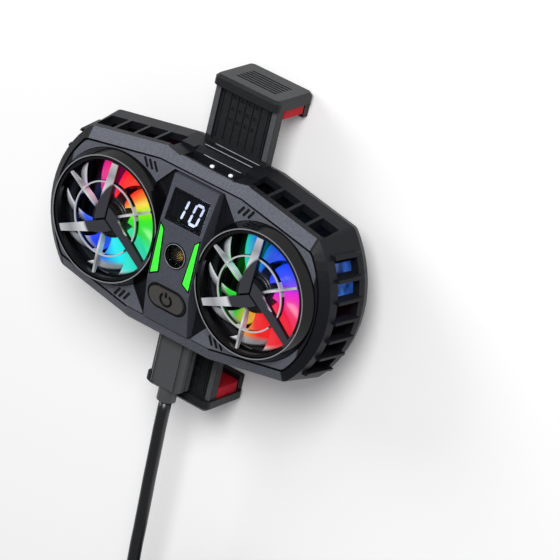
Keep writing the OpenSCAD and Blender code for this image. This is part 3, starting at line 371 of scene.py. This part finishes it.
def tube(path, radius, around, closed=False):
    """A circle carried along a path and square to it; a closed path joins up and needs no caps."""
    path = np.asarray(path, float)
    if closed:
        tangent = np.roll(path, -1, axis=0) - np.roll(path, 1, axis=0)
    else:
        tangent = np.gradient(path, axis=0)
    tangent /= np.linalg.norm(tangent, axis=1)[:, None]
    side = np.cross(tangent, (0.0, 0.0, 1.0))
    side /= np.linalg.norm(side, axis=1)[:, None]
    up = np.cross(side, tangent)
    turn = np.linspace(2.0 * math.pi, 0.0, around, endpoint=False)[None, :, None]
    rings = path[:, None] + radius * (np.cos(turn) * side[:, None] + np.sin(turn) * up[:, None])
    if not closed:
        return capped(rings)
    count = len(path) * around
    return rings.reshape(-1, 3), (grid_faces(len(path) + 1, around, True) % count).tolist()


def join(*shapes):
    """Several lots of points and faces as one."""
    points, faces, count = [], [], 0
    for some, more in shapes:
        points.append(some)
        faces += [[i + count for i in face] for face in more]
        count += len(some)
    return np.concatenate(points), faces


# A rotor in millimetres: blades, how far a tip trails, where a blade starts, its foot, height and thickness
BLADES, SWEEP, START, BLADE_Z, BLADE_H, BLADE_T = 9, 34.0, 23.0, 22.9, 5.3, 0.7
# A blade's root sinks into the hub, its trail grows by a power, its half chord grows outwards, its middle is raised
ROOT_SINK, SWEEP_POWER, CHORD_ROOT, CHORD_GAIN, CAMBER = 0.3, 1.15, 1.4, 2.6, 0.7
# Half a blade's skin as a part of its thickness, and how much of it is lost at the edges
SKIN, SKIN_LOSS = 0.7, 0.7
# Outline of the hub from its crown to the inside of its cup: radius and height
HUB_OUTLINE = np.array([
    (0.6, 28.4), (1.9, 28.4), (1.95, 28.32), (2.15, 28.32), (2.2, 28.4), (3.4, 28.4), (3.45, 28.28), (3.75, 28.28),
    (3.8, 28.4), (4.6, 28.4), (4.65, 28.28), (4.9, 28.28), (4.95, 28.38), (5.3, 28.32), (5.5, 28.18), (5.6, 27.9),
    (5.6, 24.0), (5.6, 19.45), (5.55, 19.4), (4.95, 19.4), (4.9, 19.45), (4.9, 27.1), (4.8, 27.2), (2.4, 27.2)])


def blade(radius, hub, rows=15, half_columns=9):
    """One blade: from hub to tip, u from 0 to 1, it trails by SWEEP times u to the power SWEEP_POWER.

    Across its chord, c from -1 to 1, it falls evenly by BLADE_H less BLADE_T, is raised by CAMBER times
    one less c squared, and thins from its middle to its edges.
    """
    u = np.linspace(0.0, 1.0, rows)[:, None]
    c = np.linspace(-1.0, 1.0, half_columns)
    c, face = np.concatenate([c, c[::-1]])[None], np.repeat([-1.0, 1.0], half_columns)[None]
    root = hub - ROOT_SINK
    r = root + (radius - root) * u
    angle = np.radians(START - SWEEP * u ** SWEEP_POWER) + c * (CHORD_ROOT + CHORD_GAIN * u) / r
    skin = SKIN * BLADE_T * (1.0 - SKIN_LOSS * c ** 2)
    fall = c * (BLADE_H - BLADE_T) / 2.0
    z = BLADE_Z + BLADE_H / 2.0 - fall + CAMBER * (1.0 - c ** 2) + face * skin
    return np.stack([r * np.cos(angle), r * np.sin(angle), z + 0.0 * u], -1)


# The lead's route in millimetres: a free stretch, then a coil that drops a layer where its spiral turns back
LEAD_ROUTE = np.array([
    (0, -44.38, 19.8), (0, -48, 19.8), (0, -53, 19.7), (0.1, -58, 19.6), (0.2, -63, 19.5), (0.2, -68, 19.3),
    (0.3, -73, 19.1), (0.3, -78, 18.8), (0.3, -83, 18.5), (0.2, -88, 18.2), (0.2, -93, 17.8), (0.1, -98, 17.3),
    (0.1, -103, 16.7), (0, -108, 16), (0, -112, 15.4), (0, -115, 15)])
TAIL_ROUTE = np.array([(0, -121, 2.8), (0, -124, 3.6), (0, -127, 4.2), (0, -131, 4.3)])
COIL_RADIUS, COIL_PITCH, COIL_LOW, COIL_Y, COIL_LAYERS, LAYER_TURNS = 23.8, 4.1, 2.55, -118.0, 4, 2


def coil_route(per_turn=36):
    """The coil's centreline: radius falls or rises by a pitch each turn, and height falls by one at each reversal."""
    t = np.arange(COIL_LAYERS * LAYER_TURNS * per_turn + 1) / per_turn
    layer = np.floor(t / LAYER_TURNS)
    part = t - layer * LAYER_TURNS
    radius = COIL_RADIUS - COIL_PITCH * np.where(layer % 2 == 0, part, LAYER_TURNS - part)
    near = np.round(t / LAYER_TURNS)
    step = np.clip(2.0 * (t - near * LAYER_TURNS) + 0.5, 0.0, 1.0)
    drop = np.where(near < 1, 0.0, np.where(near >= COIL_LAYERS, COIL_LAYERS - 1.0, near - 1.0 + step))
    angle = math.pi + 2.0 * math.pi * t
    return np.stack([COIL_RADIUS + radius * np.cos(angle), COIL_Y + radius * np.sin(angle),
                     COIL_LOW + COIL_PITCH * (COIL_LAYERS - 1 - drop)], -1)


# Strap round the coil in millimetres: inside from and to along X and Z, corner, thickness, half width, lap along Z
STRAP_X, STRAP_Z, STRAP_CORNER, STRAP_T, STRAP_HALF = (39.6, 47.4), (0.72, 16.68), 1.9, 0.55, 3.5
STRAP_LAP = (5.0, 13.2)
# How far the lap stands out, as a part of the thickness, and the points of a corner, of an end and of the step out
LAP_OUT, CORNER_STEPS, END_STEPS = 1.02, 9, 5
# Cross-section of the strap: parts of its thickness and of its half width
STRAP_OUTLINE = np.array([
    (0.5, -0.94), (0.5, -0.5), (0.5, 0.0), (0.5, 0.5), (0.5, 0.94), (0.25, 1.0), (-0.25, 1.0),
    (-0.5, 0.94), (-0.5, 0.5), (-0.5, 0.0), (-0.5, -0.5), (-0.5, -0.94), (-0.25, -1.0), (0.25, -1.0)])


def strap_rings():
    """A band wound once round the bundle: a rounded rectangle whose end steps out over its start.

    Its width lies along Y and is bowed with the coil, by y squared over twice the coil's radius.
    """
    corners = []
    for i, (x, z) in enumerate(((1, 1), (0, 1), (0, 0), (1, 0))):
        turn = np.radians(np.linspace(90.0 * i, 90.0 * i + 90.0, CORNER_STEPS))
        middle = (STRAP_X[x] + (1 - 2 * x) * STRAP_CORNER, STRAP_Z[z] + (1 - 2 * z) * STRAP_CORNER)
        outward = np.column_stack([np.cos(turn), np.sin(turn)])
        corners.append(np.column_stack([middle + STRAP_CORNER * outward, outward]))
    ones = np.ones(END_STEPS)
    side = [np.column_stack([STRAP_X[1] * ones, np.linspace(*ends, END_STEPS), ones, 0.0 * ones])
            for ends in ((STRAP_LAP[0], STRAP_LAP[0] + 1.0), STRAP_LAP)]
    route = np.concatenate([side[0], *corners, side[1]])
    lapped = np.clip((np.arange(len(route)) - len(route) + 2 * END_STEPS) / END_STEPS, 0.0, 1.0)
    out = STRAP_T * (0.5 + LAP_OUT * lapped)[:, None] + STRAP_T * STRAP_OUTLINE[None, :, 0]
    y = np.broadcast_to(STRAP_HALF * STRAP_OUTLINE[:, 1], out.shape)
    bow = y ** 2 / (2.0 * COIL_RADIUS)
    x = route[:, :1] + route[:, 2:3] * out - bow
    return np.stack([x, COIL_Y + y, route[:, 1:2] + route[:, 3:] * out], -1)


# Camera: its axes, the point that it is set out from, and how far it stands back, right and down from there in metres
CAMERA_RIGHT, CAMERA_UP = Vector((0.7797, 0.2160, -0.5878)), Vector((-0.4036, 0.8910, -0.2079))
CAMERA_BACK, CAMERA_FROM = Vector((0.4788, 0.3993, 0.7819)), Vector((0.0, 0.0, 0.031))
STAND_BACK, STAND_RIGHT, STAND_DOWN = 1.0563, 0.02683, 0.00603
# Lens and film in millimetres, and where the view starts in metres
FOCAL, FILM, VIEW_START = 266.0, 36.0, 0.05
# Lamps: name, place and size in metres, watts
LAMPS = (("Key", (0.3, 0.6, 0.75), 0.5, 8.0), ("Fill", (-0.8, 0.45, 0.5), 0.6, 3.4))
# Light from all round, what the camera sees of it, and the floor's own light for the camera
ROUND_LIGHT, SEEN_WHITE, FLOOR_LIFT = (0.25, 0.25, 0.26, 1.0), (1.0, 1.0, 1.0, 1.0), (0.09, 0.09, 0.09, 1.0)
# Half the floor's side in metres
FLOOR_HALF = 3.0


class COOLER_OT_stage(bpy.types.Operator):
    """Camera, lamps, world and floor"""

    bl_idname = "cooler.stage"
    bl_label = "Stage"

    def execute(self, context):
        scene = context.scene
        scene.view_settings.view_transform = "Standard"
        eye = CAMERA_FROM + STAND_BACK * CAMERA_BACK + STAND_RIGHT * CAMERA_RIGHT - STAND_DOWN * CAMERA_UP
        turned = Matrix((CAMERA_RIGHT, CAMERA_UP, CAMERA_BACK)).transposed().to_4x4()
        lens = bpy.data.cameras.new("Camera")
        lens.lens, lens.sensor_width, lens.clip_start = FOCAL, FILM, VIEW_START
        camera = bpy.data.objects.new("Camera", lens)
        camera.matrix_world = Matrix.Translation(eye) @ turned
        scene.collection.objects.link(camera)
        scene.camera = camera

        world = bpy.data.worlds.new("Studio")
        world.use_nodes = True
        tree = world.node_tree
        seen = add(tree, "ShaderNodeLightPath").outputs["Is Camera Ray"]
        tone = add(tree, "ShaderNodeMix", {0: seen, 6: ROUND_LIGHT, 7: SEEN_WHITE}, data_type="RGBA")
        tree.links.new(tone.outputs[2], tree.nodes["Background"].inputs["Color"])
        scene.world = world

        for name, place, size, watts in LAMPS:
            light = bpy.data.lights.new(name, "AREA")
            light.shape, light.size, light.energy = "DISK", size, watts
            item = bpy.data.objects.new(name, light)
            item.location = place
            item.rotation_euler = (-Vector(place)).to_track_quat("-Z", "Y").to_euler()
            scene.collection.objects.link(item)

        # A white card that shines a little for the camera alone, so that its edge melts into the background
        material, tree, shader = start("white_card", **{"Base Color": rgba(linear("#fcfcfc")), "Roughness": 0.9})
        shader.inputs["Emission Color"].default_value = FLOOR_LIFT
        tree.links.new(add(tree, "ShaderNodeLightPath").outputs["Is Camera Ray"], shader.inputs["Emission Strength"])
        mesh = bpy.data.meshes.new("floor")
        corners = ((-1.0, -1.0), (1.0, -1.0), (1.0, 1.0), (-1.0, 1.0))
        mesh.from_pydata([(x * FLOOR_HALF, y * FLOOR_HALF, 0.0) for x, y in corners], [], [(0, 1, 2, 3)])
        mesh.materials.append(material)
        floor = bpy.data.objects.new("floor", mesh)
        scene.collection.objects.link(floor)
        return {"FINISHED"}


class COOLER_OT_lead(bpy.types.Operator):
    """The cable on its route, with its plugs and strap"""

    bl_idname = "cooler.lead"
    bl_label = "Lead"

    def execute(self, context):
        black = moulded("satin_pvc", colours().lead, rough=0.3, grain_mm=0.5, relief=0.1, shine=0.7)
        route = np.concatenate([LEAD_ROUTE, coil_route(), TAIL_ROUTE]) * MM
        points, faces = tube(route, sizes().cable_diameter / 2.0, around=20)
        cable = new_piece("lead_cable", points, faces, black, "lead")
        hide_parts("cable", "cable_coil")
        woven = moulded("woven_strap", linear("#232428"), rough=0.8, grain_mm=0.6, relief=0.6)
        strap = new_piece("coil_strap", *capped(strap_rings() * MM), woven, "lead")
        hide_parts("cable_tie")
        soft = moulded(
            "soft_touch_overmould", linear("#4a4b4d"), rough=0.4, grain_mm=0.4, relief=0.15, speck=0.1, shine=0.4)
        dress(soft, "usb_c_body", "usb_a_body")
        nickel = metal("nickel_plated_shell", linear("#b9bcc0"), rough=0.25)
        dress(nickel, "usb_c_shell", "usb_a_shell", "usb_c_socket")
        return {"FINISHED"}


# Thin light grey tubes of painted highlight along the edges of the steps in the scoop above the upper arm, in
# millimetres: both ends along X, then Y and Z
SCOOP_HIGHLIGHTS = ((-5.2, 7.0, 24.42, 20.52), (-7.4, 8.0, 25.84, 17.55), (-6.0, 8.4, 26.02, 14.98))
HIGHLIGHT_RADIUS = 0.11
# A lit strip behind the vents of the +X end in millimetres: middle and radius of its curve in plan, its ends along Y,
# its foot and top, how far it leans in, and its thickness
GLOW_MIDDLE, GLOW_RADIUS, GLOW_Y, GLOW_Z, GLOW_LEAN, GLOW_T = 14.5, 29.3, (3.4, 13.0), (12.6, 19.4), 0.9, 0.3


def end_glow_rings():
    """Slices of the lit strip along Y: each leans inward like the wall, whose curve in plan it follows."""
    y = np.linspace(*GLOW_Y, 9)
    x = GLOW_MIDDLE + np.sqrt(GLOW_RADIUS ** 2 - y ** 2)
    low, high = np.full(len(y), GLOW_Z[0]), np.full(len(y), GLOW_Z[1])
    corners = ((x, low), (x - GLOW_LEAN, high), (x - GLOW_LEAN - GLOW_T, high), (x - GLOW_T, low))
    return np.stack([np.stack([across, y, up], -1) for across, up in corners[::-1]], 1)


class COOLER_OT_housing(bpy.types.Operator):
    """Shell, plate and what is inside"""

    bl_idname = "cooler.housing"
    bl_label = "Housing"

    def execute(self, context):
        shell, plate = colours().shell, colours().plate
        # Painted light: the band's top takes the plate grey as its lit look, while its sides and corners stay black
        # as painted shade
        dress(moulded("abs_frame_painted_light", shell, rough=0.4, grain_mm=0.45, relief=0.25, speck=0.2, shine=0.16,
                      upper=plate, above=BAND_LOW), "mid_frame")
        dress(moulded("eroded_abs_cover", shell, rough=0.4, grain_mm=0.45, relief=0.25, speck=0.2, shine=0.16),
              "rear_cover")
        # Painted shade: the plate's ends beyond PLATE_REACH, its edges below its face and its faces along X stay
        # black
        dress(moulded("speckled_abs_plate_painted_shade", shell, rough=0.42, grain_mm=0.4, relief=0.3, speck=0.2, shine=0.4,
                      upper=plate, above=PLATE_FACE, reach=PLATE_REACH), "front_plate")
        dress(moulded("satin_abs_panel", colours().panel, rough=0.45, grain_mm=0.4, relief=0.2, speck=0.15,
                      shine=0.4), "bridge_panel")
        # Painted highlights: light grey lines where the scoop's edges catch the light
        highlight_grey = gloss("scoop_painted_highlight", linear("#9b9da2"), rough=0.3)
        for i, (x0, x1, y, z) in enumerate(SCOOP_HIGHLIGHTS):
            line = np.linspace((x0, y, z), (x1, y, z), 9) * MM
            piece = new_piece(f"scoop_highlight_{i + 1}", *tube(line, HIGHLIGHT_RADIUS * MM, around=8), highlight_grey, "housing")
        blue = lit("blue_lit_edge", linear("#27509e"), strength=0.5, uneven=0.7, patch=330.0)
        piece = new_piece("end_glow", *capped(end_glow_rings() * MM), blue, "housing", smooth=False)
        dress(metal("extruded_aluminium", linear("#8f949b"), rough=0.35), *both("cold_plate"))
        dress(moulded("alumina_ceramic", linear("#e6e2d8"), rough=0.6, grain_mm=0.4, relief=0.2, speck=0.08),
              *both("thermoelectric"))
        dress(moulded("silicone_pad", linear("#7d8086"), rough=0.7, grain_mm=0.5, relief=0.3, speck=0.12),
              *both("contact_pad"))
        dress(moulded("solder_mask", linear("#12402b"), rough=0.35, grain_mm=0.7, relief=0.15),
              "main_board", *both("lamp_board"))
        dress(moulded("black_nylon", linear("#1a1b1e"), rough=0.5, grain_mm=0.5, relief=0.2),
              "button_switch", *both("fan_motor"))
        dress(metal("zinc_plated_steel", linear("#9aa0a6"), rough=0.3), "case_screws", *both("fan_shaft"))
        dress(metal("sintered_bronze", linear("#a8804a"), rough=0.45), *both("fan_bearing"))
        return {"FINISHED"}


# How far out a guard is bare plastic by turn, as a part of FAN_REACH: one wide arm is bare to its tip; beyond lies
# plating, partly painted reflection
BARE_REACH = [
    (0.0, 0.42), (0.2, 0.42), (0.23, 0.25), (0.27, 0.25), (0.3, 0.4), (0.395, 0.4), (0.405, 1.0), (0.458, 1.0),
    (0.468, 0.42), (0.53, 0.27), (0.66, 0.3), (0.742, 0.62), (0.8, 0.42), (0.88, 0.27), (0.95, 0.27), (1.0, 0.42)]
# Where the three leaf spokes stand by turn, and how wide they are with room to spare
LEAF_TURNS, LEAF_WIDTH = (0.25, 0.5833, 0.9167), 0.03
# Height in metres below which a guard's sides are black as painted shade, and half the width of that edge
GUARD_FACE, GUARD_EDGE = 0.0303, 0.0001
# Where plating and its painted reflection fade, in parts of FAN_REACH beyond the bare plastic, and the roughness of
# both
PLATED_FADE, BARE_ROUGH, PLATED_ROUGH = (-0.02, 0.03), 0.4, 0.18


def guard_plating_and_painted_light(side):
    """Plated guard with painted reflection and shade: slate plastic is left bare near the hub and along one arm.

    The plated areas are partly real plating and partly painted reflection, lighter and darker by radius; the ring,
    and the sides of all but the leaf spokes, are black as painted shade.
    """
    material, tree, shader = start(f"plated_guard_painted_light_{side}", Metallic=0.2)
    radius, turn = fan_polar(tree, side)
    reach = add(tree, "ShaderNodeMapRange", {
        "Value": radius, "From Min": 0.0, "From Max": FAN_REACH}).outputs["Result"]
    slate, black = linear("#3a3b42"), linear("#0a0a0c")
    # Painted reflection: the plating is lighter and darker by radius, and the ring is black as painted shade
    tone = add(tree, "ShaderNodeValToRGB", {0: reach}, stops=[
        (0.3, linear("#b4b6ba")), (0.945, black), (0.48, linear("#eceef0")), (0.72, linear("#a4a6ab")),
        (0.93, linear("#d0d2d5"))])
    edge = add(tree, "ShaderNodeValToRGB", {0: turn}, stops=[(place, (part,) * 3) for place, part in BARE_REACH])
    beyond = add(tree, "ShaderNodeMath", {0: reach, 1: edge.outputs["Color"]}, operation="SUBTRACT")
    plated = add(tree, "ShaderNodeMapRange", {
        "Value": beyond.outputs["Value"], "From Min": PLATED_FADE[0], "From Max": PLATED_FADE[1]}).outputs["Result"]
    mixed = add(tree, "ShaderNodeMix", {
        0: plated, 6: rgba(slate), 7: tone.outputs["Color"]}, data_type="RGBA").outputs[2]
    place = add(tree, "ShaderNodeTexCoord").outputs["Object"]
    height = add(tree, "ShaderNodeSeparateXYZ", {0: place}).outputs["Z"]
    # Painted shade: the guard's sides are black below its face, except where the leaf spokes' plated sides show
    faced = add(tree, "ShaderNodeMapRange", {
        "Value": height, "From Min": GUARD_FACE - GUARD_EDGE, "From Max": GUARD_FACE + GUARD_EDGE}).outputs["Result"]
    for middle in LEAF_TURNS:
        near = add(tree, "ShaderNodeMath", {0: turn, 1: middle, 2: LEAF_WIDTH}, operation="COMPARE").outputs["Value"]
        outside = add(tree, "ShaderNodeMath", {0: near, 1: plated}, operation="MULTIPLY").outputs["Value"]
        faced = add(tree, "ShaderNodeMath", {0: faced, 1: outside}, operation="MAXIMUM").outputs["Value"]
    mixed = add(tree, "ShaderNodeMix", {0: faced, 6: rgba(black), 7: mixed}, data_type="RGBA").outputs[2]
    tree.links.new(mixed, shader.inputs["Base Color"])
    sheen = add(tree, "ShaderNodeMapRange", {"Value": plated, "To Min": BARE_ROUGH, "To Max": PLATED_ROUGH})
    tree.links.new(sheen.outputs["Result"], shader.inputs["Roughness"])
    return material


class COOLER_OT_fans(bpy.types.Operator):
    """Bezels, guards and lit rotors"""

    bl_idname = "cooler.fans"
    bl_label = "Fans"

    def execute(self, context):
        dress(gloss("piano_black_abs", colours().bezel, rim=RIM_LOW, shine=0.25), *both("fan_bezel"))
        hub_finish = gloss("dark_turned_hub", linear("#24262b"), rough=0.22)
        radius, hub = sizes().blade_radius / MM, sizes().hub_radius / MM
        around = np.linspace(0.0, 2.0 * math.pi, 64, endpoint=False)
        ring = np.stack([np.cos(around), np.sin(around), 0.0 * around], -1)
        crown = HUB_OUTLINE[:, :1, None] * ring + HUB_OUTLINE[:, 1:, None] * (0.0, 0.0, 1.0)
        one = blade(radius, hub)
        for side, sign in SIDES.items():
            axis = np.array((sign * sizes().fan_offset, 0.0, 0.0))
            blades = []
            for i in range(BLADES):
                turn = np.array(Matrix.Rotation(2.0 * math.pi * i / BLADES, 3, "Z"))
                blades.append(capped((one @ turn.T) * MM + axis))
            lit_blades = lit_fan(f"milky_blades_{side}", side, strength=0.95, base=colours().blade, rough=0.25)
            piece = new_piece(f"rotor_blades_{side}", *join(*blades), lit_blades, f"fan_{side}")
            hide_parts(f"fan_rotor_{side}")
            cup = new_piece(f"rotor_hub_{side}", *capped(crown[::-1] * MM + axis), hub_finish, f"fan_{side}")
            dress(lit_fan(f"clear_guide_{side}", side, strength=0.3, base=linear("#3a3d42"), rough=0.2),
                  f"light_guide_{side}")
            # Painted light: the fins are no lamps, yet the lamps' colours are painted on them as a faint glow
            dress(lit_fan(f"black_fins_painted_glow_{side}", side, strength=0.16, base=linear("#0c0d0f"), rough=0.4),
                  f"heat_sink_{side}")
            dress(guard_plating_and_painted_light(side), f"fan_guard_{side}")
        return {"FINISHED"}


# Bright middle of a light strip and the black bed round it, in millimetres: outline on the +X side, foot and top
STRIP_CORE = ((6.28, 6.55), (5.32, 5.5), (4.2, -6.0), (6.28, -7.15))
STRIP_CORE_Z = (31.0, 31.15)
STRIP_BED = ((6.64, 7.3), (5.05, 5.75), (3.78, -6.22), (6.64, -7.8))
STRIP_BED_Z = (30.9, 31.1)
# Lower slope of the panel in millimetres: where it starts, its fall per millimetre, the button's middle and top there
SLOPE_Y, SLOPE_FALL, BUTTON_Y, BUTTON_Z, BUTTON_PROUD = -9.0, 0.2273, -12.6, 31.5, 0.6
# Black loop of painted shade in the gap round the button, and the bright ring round the lens, in millimetres, each
# with its radius in section
GAP_SHADE_HALF, GAP_SHADE_RADIUS, GAP_SHADE_WIRE = 2.8, 3.4, 0.3
LENS_RING, LENS_RING_Z, LENS_WIRE = 3.2, 31.16, 0.09
# Power symbol: half its gap in degrees, its bar in parts of its radius, radius in section and depth in millimetres
SYMBOL_GAP, SYMBOL_BAR, SYMBOL_WIRE, SYMBOL_SUNK = 36.0, (0.45, 1.25), 0.36, 0.08
# Middle and limit in metres of the painted glint on the brass behind the lens, and how strongly it glows as painted
# light
BRASS_MIDDLE, BRASS_LIMIT, BRASS_GLINT = 0.0006, 0.003, 0.35


def on_button(x, y):
    """Points on the button's sloping top, in millimetres."""
    return np.stack([x, y, BUTTON_Z + SLOPE_FALL * (y - SLOPE_Y)], -1)


def brass_with_painted_glint():
    """Brass with a painted glint and painted shade: bright near a middle that stands a little towards +X, dark
    beyond; it glows a little though it is no lamp.
    """
    material, tree, shader = start("brass_painted_glint_and_shade", **{"Roughness": 0.3, "Emission Strength": BRASS_GLINT})
    place = add(tree, "ShaderNodeTexCoord").outputs["Object"]
    centre = add(tree, "ShaderNodeMapping", {
        "Vector": place, "Location": (-BRASS_MIDDLE, 0.0, 0.0), "Scale": (1.0, 1.0, 0.0)})
    away = add(tree, "ShaderNodeVectorMath", {0: centre.outputs["Vector"]}, operation="LENGTH")
    part = add(tree, "ShaderNodeMapRange", {"Value": away.outputs["Value"], "From Min": 0.0, "From Max": BRASS_LIMIT})
    tone = add(tree, "ShaderNodeValToRGB", {0: part.outputs["Result"]}, stops=[
        (0.0, linear("#8f7434")), (1.0, linear("#0c0a07")), (0.3, linear("#6e5726")), (0.46, linear("#241c0e"))])
    tree.links.new(tone.outputs["Color"], shader.inputs["Base Color"])
    tree.links.new(tone.outputs["Color"], shader.inputs["Emission Color"])
    return material


class COOLER_OT_panel(bpy.types.Operator):
    """Display, lamps, sensor and button"""

    bl_idname = "cooler.panel"
    bl_label = "Panel"

    def execute(self, context):
        # A grey pane that dims what is behind it and keeps a faint shine of its own
        smoked, *_ = start("smoked_acrylic", **{
            "Base Color": rgba(linear("#8f93a0")), "Roughness": 0.04, "Transmission Weight": 1.0, "IOR": 1.3,
            "Specular IOR Level": 0.25})
        dress(smoked, "display_window")
        # A clear window that bends little, so that the brass behind it shows
        lens, *_ = start("clear_glass", **{
            "Base Color": rgba(linear("#e4e2dc")), "Roughness": 0.02, "Transmission Weight": 1.0, "IOR": 1.2})
        dress(lens, "sensor_lens")
        dress(gloss("black_rim", linear("#0d0e10"), rough=0.3), "sensor_rim")
        # Painted light: the brass behind the lens glows a little, with a painted glint and a dark edge
        dress(brass_with_painted_glint(), "sensor_can")
        turn = np.linspace(0.0, 2.0 * math.pi, 64, endpoint=False)
        circle = np.stack([LENS_RING * np.cos(turn), LENS_RING * np.sin(turn), np.full(len(turn), LENS_RING_Z)], -1)
        satin = gloss("satin_ring", linear("#8f9298"), rough=0.3)
        piece = new_piece("lens_ring", *tube(circle * MM, LENS_WIRE * MM, around=10, closed=True), satin, "housing")
        dress(lit("white_segments", linear("#e6eefb"), strength=3.2), "display_digits")
        dress(lit("display_backing", linear("#1b1c22"), strength=0.8, uneven=0.2), "display_module")
        dress(lit("white_lamps", linear("#f4f6fa"), strength=0.55), "indicator_lamps")
        dress(gloss("black_strip_edge", linear("#070907"), rough=0.4, shine=0.2), *both("light_strip"))
        dress(moulded("satin_button", colours().button, rough=0.4, grain_mm=0.4, relief=0.2, speck=0.15, shine=0.4),
              "power_button")
        glow = lit("green_core", colours().strip, strength=0.72)
        ink_and_gap_shade = moulded("black_ink_and_gap_shade", linear("#060607"), rough=0.6, grain_mm=0.5, relief=0.1, shine=0.15)
        for side, sign in SIDES.items():
            for name, outline, levels, material, slot in (
                    ("strip_core", STRIP_CORE, STRIP_CORE_Z, glow, "lit_green"),
                    ("strip_bed", STRIP_BED, STRIP_BED_Z, ink_and_gap_shade, "plate_plastic")):
                shape = slab(outline, levels, sign)
                piece = new_piece(f"{name}_{side}", *shape, material, "housing", smooth=False)
        radius = sizes().symbol_radius / MM
        turn = np.radians(np.linspace(90.0 + SYMBOL_GAP, 450.0 - SYMBOL_GAP, 49))
        ring = on_button(radius * np.cos(turn), BUTTON_Y + radius * np.sin(turn))
        bar = on_button(np.zeros(7), BUTTON_Y + radius * np.linspace(*SYMBOL_BAR, 7))
        sunk = np.array((0.0, 0.0, -SYMBOL_SUNK))
        symbol = join(*[tube((line + sunk) * MM, SYMBOL_WIRE * MM, around=12) for line in (ring, bar)])
        piece = new_piece("power_symbol", *symbol, ink_and_gap_shade, "button")
        # Painted shade: a thin black loop lies where the gap round the button falls in shadow
        turn = np.linspace(-0.5 * math.pi, 1.5 * math.pi, 96, endpoint=False)
        x = GAP_SHADE_HALF * np.sign(np.cos(turn)) + GAP_SHADE_RADIUS * np.cos(turn)
        gap_shade = on_button(x, BUTTON_Y + GAP_SHADE_RADIUS * np.sin(turn)) - (0.0, 0.0, BUTTON_PROUD)
        piece = new_piece("button_gap_shade", *tube(gap_shade * MM, GAP_SHADE_WIRE * MM, around=10, closed=True), ink_and_gap_shade, "housing")
        return {"FINISHED"}


# A jaw's spring in millimetres: radius, height, both ends along Y, length of a straight end, turns, wire radius
SPRING_R, SPRING_Z, SPRING_Y, SPRING_LEAD, SPRING_TURNS, SPRING_WIRE = 0.95, 13.3, (1.45, 19.85), 1.2, 10, 0.18


def spring_route(way, per_turn=24):
    """A helix about the Y axis between two straight ends, for the jaw on one side."""
    turn = np.arange(SPRING_TURNS * per_turn + 1) / per_turn
    first, last = SPRING_Y[0] + SPRING_LEAD, SPRING_Y[1] - SPRING_LEAD
    angle = 2.0 * math.pi * turn
    y = first + (last - first) * turn / SPRING_TURNS
    helix = np.stack([SPRING_R * np.cos(angle), y, SPRING_Z + SPRING_R * np.sin(angle)], -1)
    ends = np.array([(SPRING_R, place, SPRING_Z) for place in SPRING_Y])
    return np.concatenate([ends[:1], helix, ends[1:]]) * (way, way, 1.0) * MM


# Painted highlight along the edge of an arm, a lighter strip where light catches it, in millimetres: outline on the
# +X side, foot and top
ARM_HIGHLIGHT = ((8.4, 27.4), (9.9, 27.4), (9.9, 41.68), (8.4, 41.68))
ARM_HIGHLIGHT_Z = (14.55, 14.66)


class COOLER_OT_clamp(bpy.types.Operator):
    """Jaws, pads and their cover"""

    bl_idname = "cooler.clamp"
    bl_label = "Clamp"

    def execute(self, context):
        dress(moulded("satin_abs_jaw", colours().clamp, rough=0.38, grain_mm=0.5, relief=0.2, speck=0.2, shine=0.28),
              "upper_jaw", "lower_jaw", "clamp_cover")
        wire = metal("spring_steel", linear("#9aa0a6"), rough=0.3)
        # Painted highlight: lighter strips on both edges of each arm
        edge = moulded(
            "arm_painted_highlight", linear("#505154"), rough=0.35, grain_mm=0.5, relief=0.2, speck=0.15, shine=0.4)
        for name, way in (("upper", 1.0), ("lower", -1.0)):
            edges = join(*[slab(ARM_HIGHLIGHT, ARM_HIGHLIGHT_Z, sign, way) for sign in SIDES.values()])
            piece = new_piece(f"{name}_arm_highlight", *edges, edge, f"jaw_{name}", smooth=False)
            coil = new_piece(f"{name}_jaw_spring", *tube(spring_route(way), SPRING_WIRE * MM, around=10), wire, None)
            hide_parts(f"{name}_spring")
            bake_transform(coil)
        dress(moulded("red_silicone", colours().pad, rough=0.55, grain_mm=0.5, relief=0.25, speck=0.1, shine=0.15),
              "upper_pad", "lower_pad")
        return {"FINISHED"}


OPERATORS = (COOLER_OT_stage, COOLER_OT_lead, COOLER_OT_housing, COOLER_OT_fans, COOLER_OT_panel, COOLER_OT_clamp)


class COOLER_PT_sidebar(bpy.types.Panel):
    """Lists the cooler's operators and properties"""

    bl_idname = "COOLER_PT_sidebar"
    bl_label = "Cooling fan"
    bl_space_type = "VIEW_3D"
    bl_region_type = "UI"
    bl_category = "Cooling fan"

    def draw(self, context):
        for group in (context.scene.cooler_sizes, context.scene.cooler_colours):
            for key in group.__annotations__:
                self.layout.prop(group, key)
        for item in OPERATORS:
            self.layout.operator(item.bl_idname)


CLASSES = (CoolerSizes, CoolerColours, *OPERATORS, COOLER_PT_sidebar)


def register():
    for item in CLASSES:
        bpy.utils.register_class(item)
    bpy.types.Scene.cooler_sizes = bpy.props.PointerProperty(type=CoolerSizes)
    bpy.types.Scene.cooler_colours = bpy.props.PointerProperty(type=CoolerColours)


def unregister():
    del bpy.types.Scene.cooler_sizes
    del bpy.types.Scene.cooler_colours
    for item in reversed(CLASSES):
        bpy.utils.unregister_class(item)


def main():
    register()
    for item in OPERATORS:
        group, name = item.bl_idname.split(".")
        getattr(getattr(bpy.ops, group), name)()


if __name__ == "__main__":
    main()
